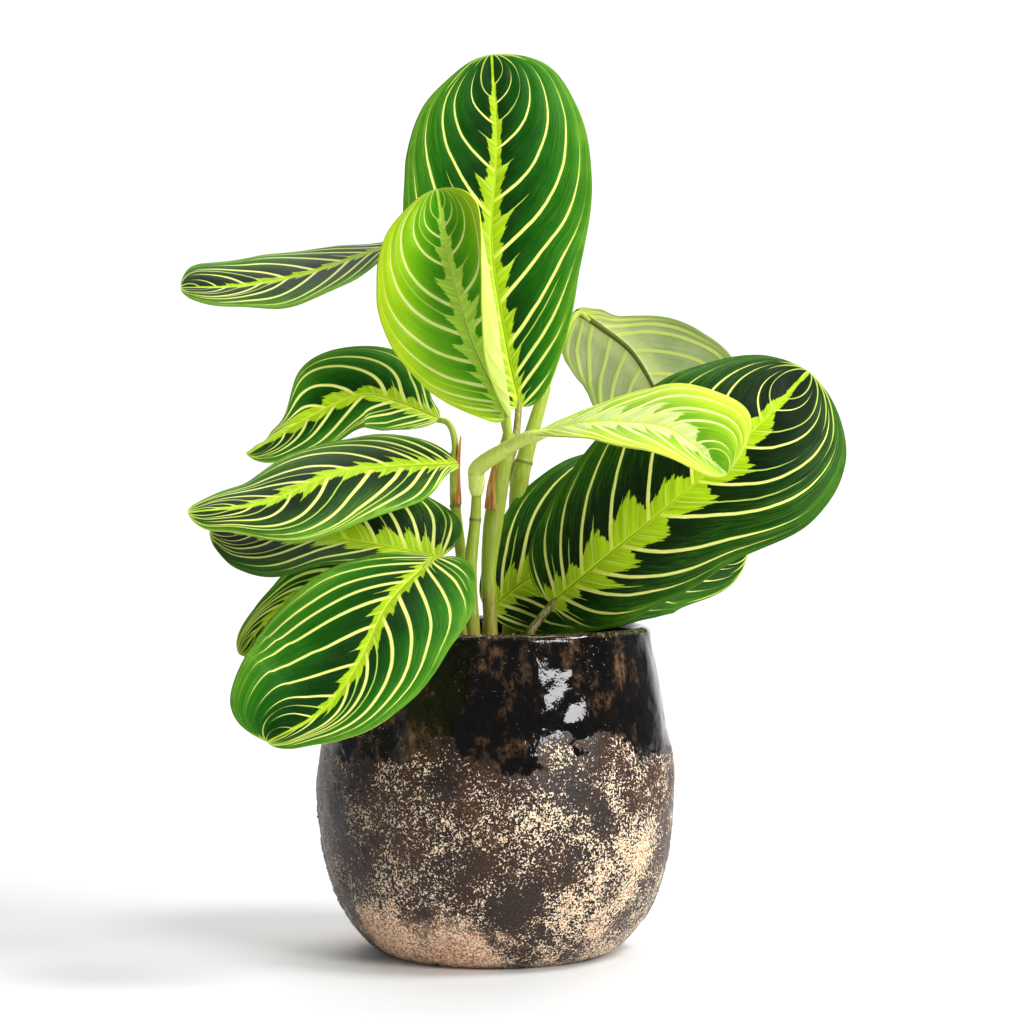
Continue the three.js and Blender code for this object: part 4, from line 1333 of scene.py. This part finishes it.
def under_side(name, look, seed):
    coat = BladeCoat(name + " underside", look, seed)
    clouds = coat.noise(coat.place, 50, 4, 0.6)
    stripes = coat.combed(16, 2, 2.3)
    deep = blended((136, 154, 106), (196, 220, 96), coat.age)
    light = blended((182, 196, 142), (232, 240, 150), coat.age)
    vein = coat.ease(coat.math("PINGPONG", coat.phase, 0.5) * coat.gap, 1.0, 0.55)
    rib_half = coat.ease(coat.along, 0.0, 1.0, 1.3, 0.5)
    over = [
        (coat.ease(stripes * 14 + coat.reach, 15.0, 12.0, 0.0, 0.6), (206, 220, 140)),
        (coat.ease(coat.edge, 0.75, 1.0, 0.0, 0.6), blended((124, 152, 60), (204, 228, 80), coat.age)),
        (vein * coat.ease(coat.edge, 0.98, 0.85, 0.1, 0.85), (214, 228, 112)),
        (coat.ease(coat.reach / rib_half, 1.2, 0.8), blended((74, 78, 20), (176, 190, 70), coat.age)),
    ]
    colour = coat.layers(coat.ramp(clouds * 0.6 + stripes * 0.4, [(0.35, deep), (0.65, light)]), over)
    return coat.finish(colour, 0.55, coat.bump(vein + stripes, 0.2, 0.8), 0.25)


print("leaf finishes ready")

# %% [markdown]
# ### Put the leaves together
# A leaf is one piece: its blade and its stalk in one mesh. The stalk is a cane like the stems, and it
# runs on a short way under the midrib. The real plant has a smooth joint just below the blade that
# lifts and lowers the leaf between day and night; here the stalk is thicker near the cane than near
# the blade and narrows to a short neck where it leaves the cane. Blade and stalk could be two
# pieces, but a leaf breaks off and is moved as one, and each face can still have its own coat.

# %% Grow the leaves
STALK_COLOURS = {
    "leaf_right_front": ((122, 112, 44), (92, 78, 34)),
    "leaf_top": ((134, 128, 54), (106, 96, 40)),
    # The young front leaf's stalk is its own pale lime, painted a little lighter to offset the shade on its
    # bend.
    "leaf_young_front": ((234, 248, 122), (238, 248, 122)),
}
STALK_STEPS = 90
STALK_END = 0.8
STALK_NECK = 0.35
UNDER_RIB = [[1.2], [1.0]]
PAST_RING = 7


def store(thing, key, values):
    thing.data.attributes.new(key, "FLOAT", "POINT").data.foreach_set("value", values)


def stalk(name, leaf, seed):
    """The leaf's stalk as a cane. It ends a little below the first part of the midrib."""
    centre, _, face, _ = rib_frame(leaf, np.array([0.02, 0.1]))
    knots = [*leaf["stalk"]["points"], *(centre - np.array(UNDER_RIB) * face)]
    thick, thin = leaf["stalk"]["radii"]
    share = np.linspace(0, 1, 60)
    radii = np.interp(share, np.linspace(0, 1, 6), [thick, thick, thick, thin, thin, STALK_END])
    radii *= 1 - STALK_NECK * np.exp(-((share / 0.035) ** 2))
    coat = cane_material(name + " stalk", *STALK_COLOURS.get(name, (CANE_GREEN, CANE_ROOT)), 5 * seed)
    return cane(name + "_stalk", knots, radii, STALK_STEPS, coat)


def grow(name, leaf, seed):
    points, faces, sides, values = blade(leaf, seed)
    tube = stalk(name, leaf, seed)
    corners = len(tube.data.vertices)
    tube_points, tube_run = np.empty(corners * 3), np.empty(corners)
    tube.data.vertices.foreach_get("co", tube_points)
    tube.data.attributes["run"].data.foreach_get("value", tube_run)
    faces += [tuple(k + len(points) for k in polygon.vertices) for polygon in tube.data.polygons]
    sides += [2] * len(tube.data.polygons)
    coats = [upper_side(name, LOOKS[name], seed), under_side(name, LOOKS[name], seed), tube.data.materials[0]]
    bpy.data.objects.remove(tube)
    all_points = np.vstack([points, tube_points.reshape(-1, 3) / MM])
    made = smooth(mesh_object(name + "_fine", all_points, faces, coats))
    made.data.polygons.foreach_set("material_index", sides)
    for key, drawn in values.items():
        store(made, key, np.concatenate([drawn, np.zeros(corners)]))
    store(made, "run", np.concatenate([np.zeros(len(points)), tube_run + PAST_RING * MM]))
    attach(made, "root")
    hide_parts(name)
    print(made.name, len(made.data.polygons), "faces")


for seed, (name, leaf) in enumerate(LEAVES.items(), 1):
    grow(name, leaf, seed)

# %% [markdown]
# ## Count the triangles
# The number of triangles of the five largest pieces and of all pieces is printed.

# %% Count the triangles
bpy.context.view_layer.update()
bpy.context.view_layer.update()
triangles = {
    thing.name: sum(len(polygon.vertices) - 2 for polygon in thing.data.polygons)
    for thing in bpy.data.objects
    if thing.type == "MESH" and thing.visible_get() and not thing.hide_render
}
largest = sorted(triangles.items(), key=lambda pair: -pair[1])[:5]
print("largest pieces:", largest, "all:", sum(triangles.values()))
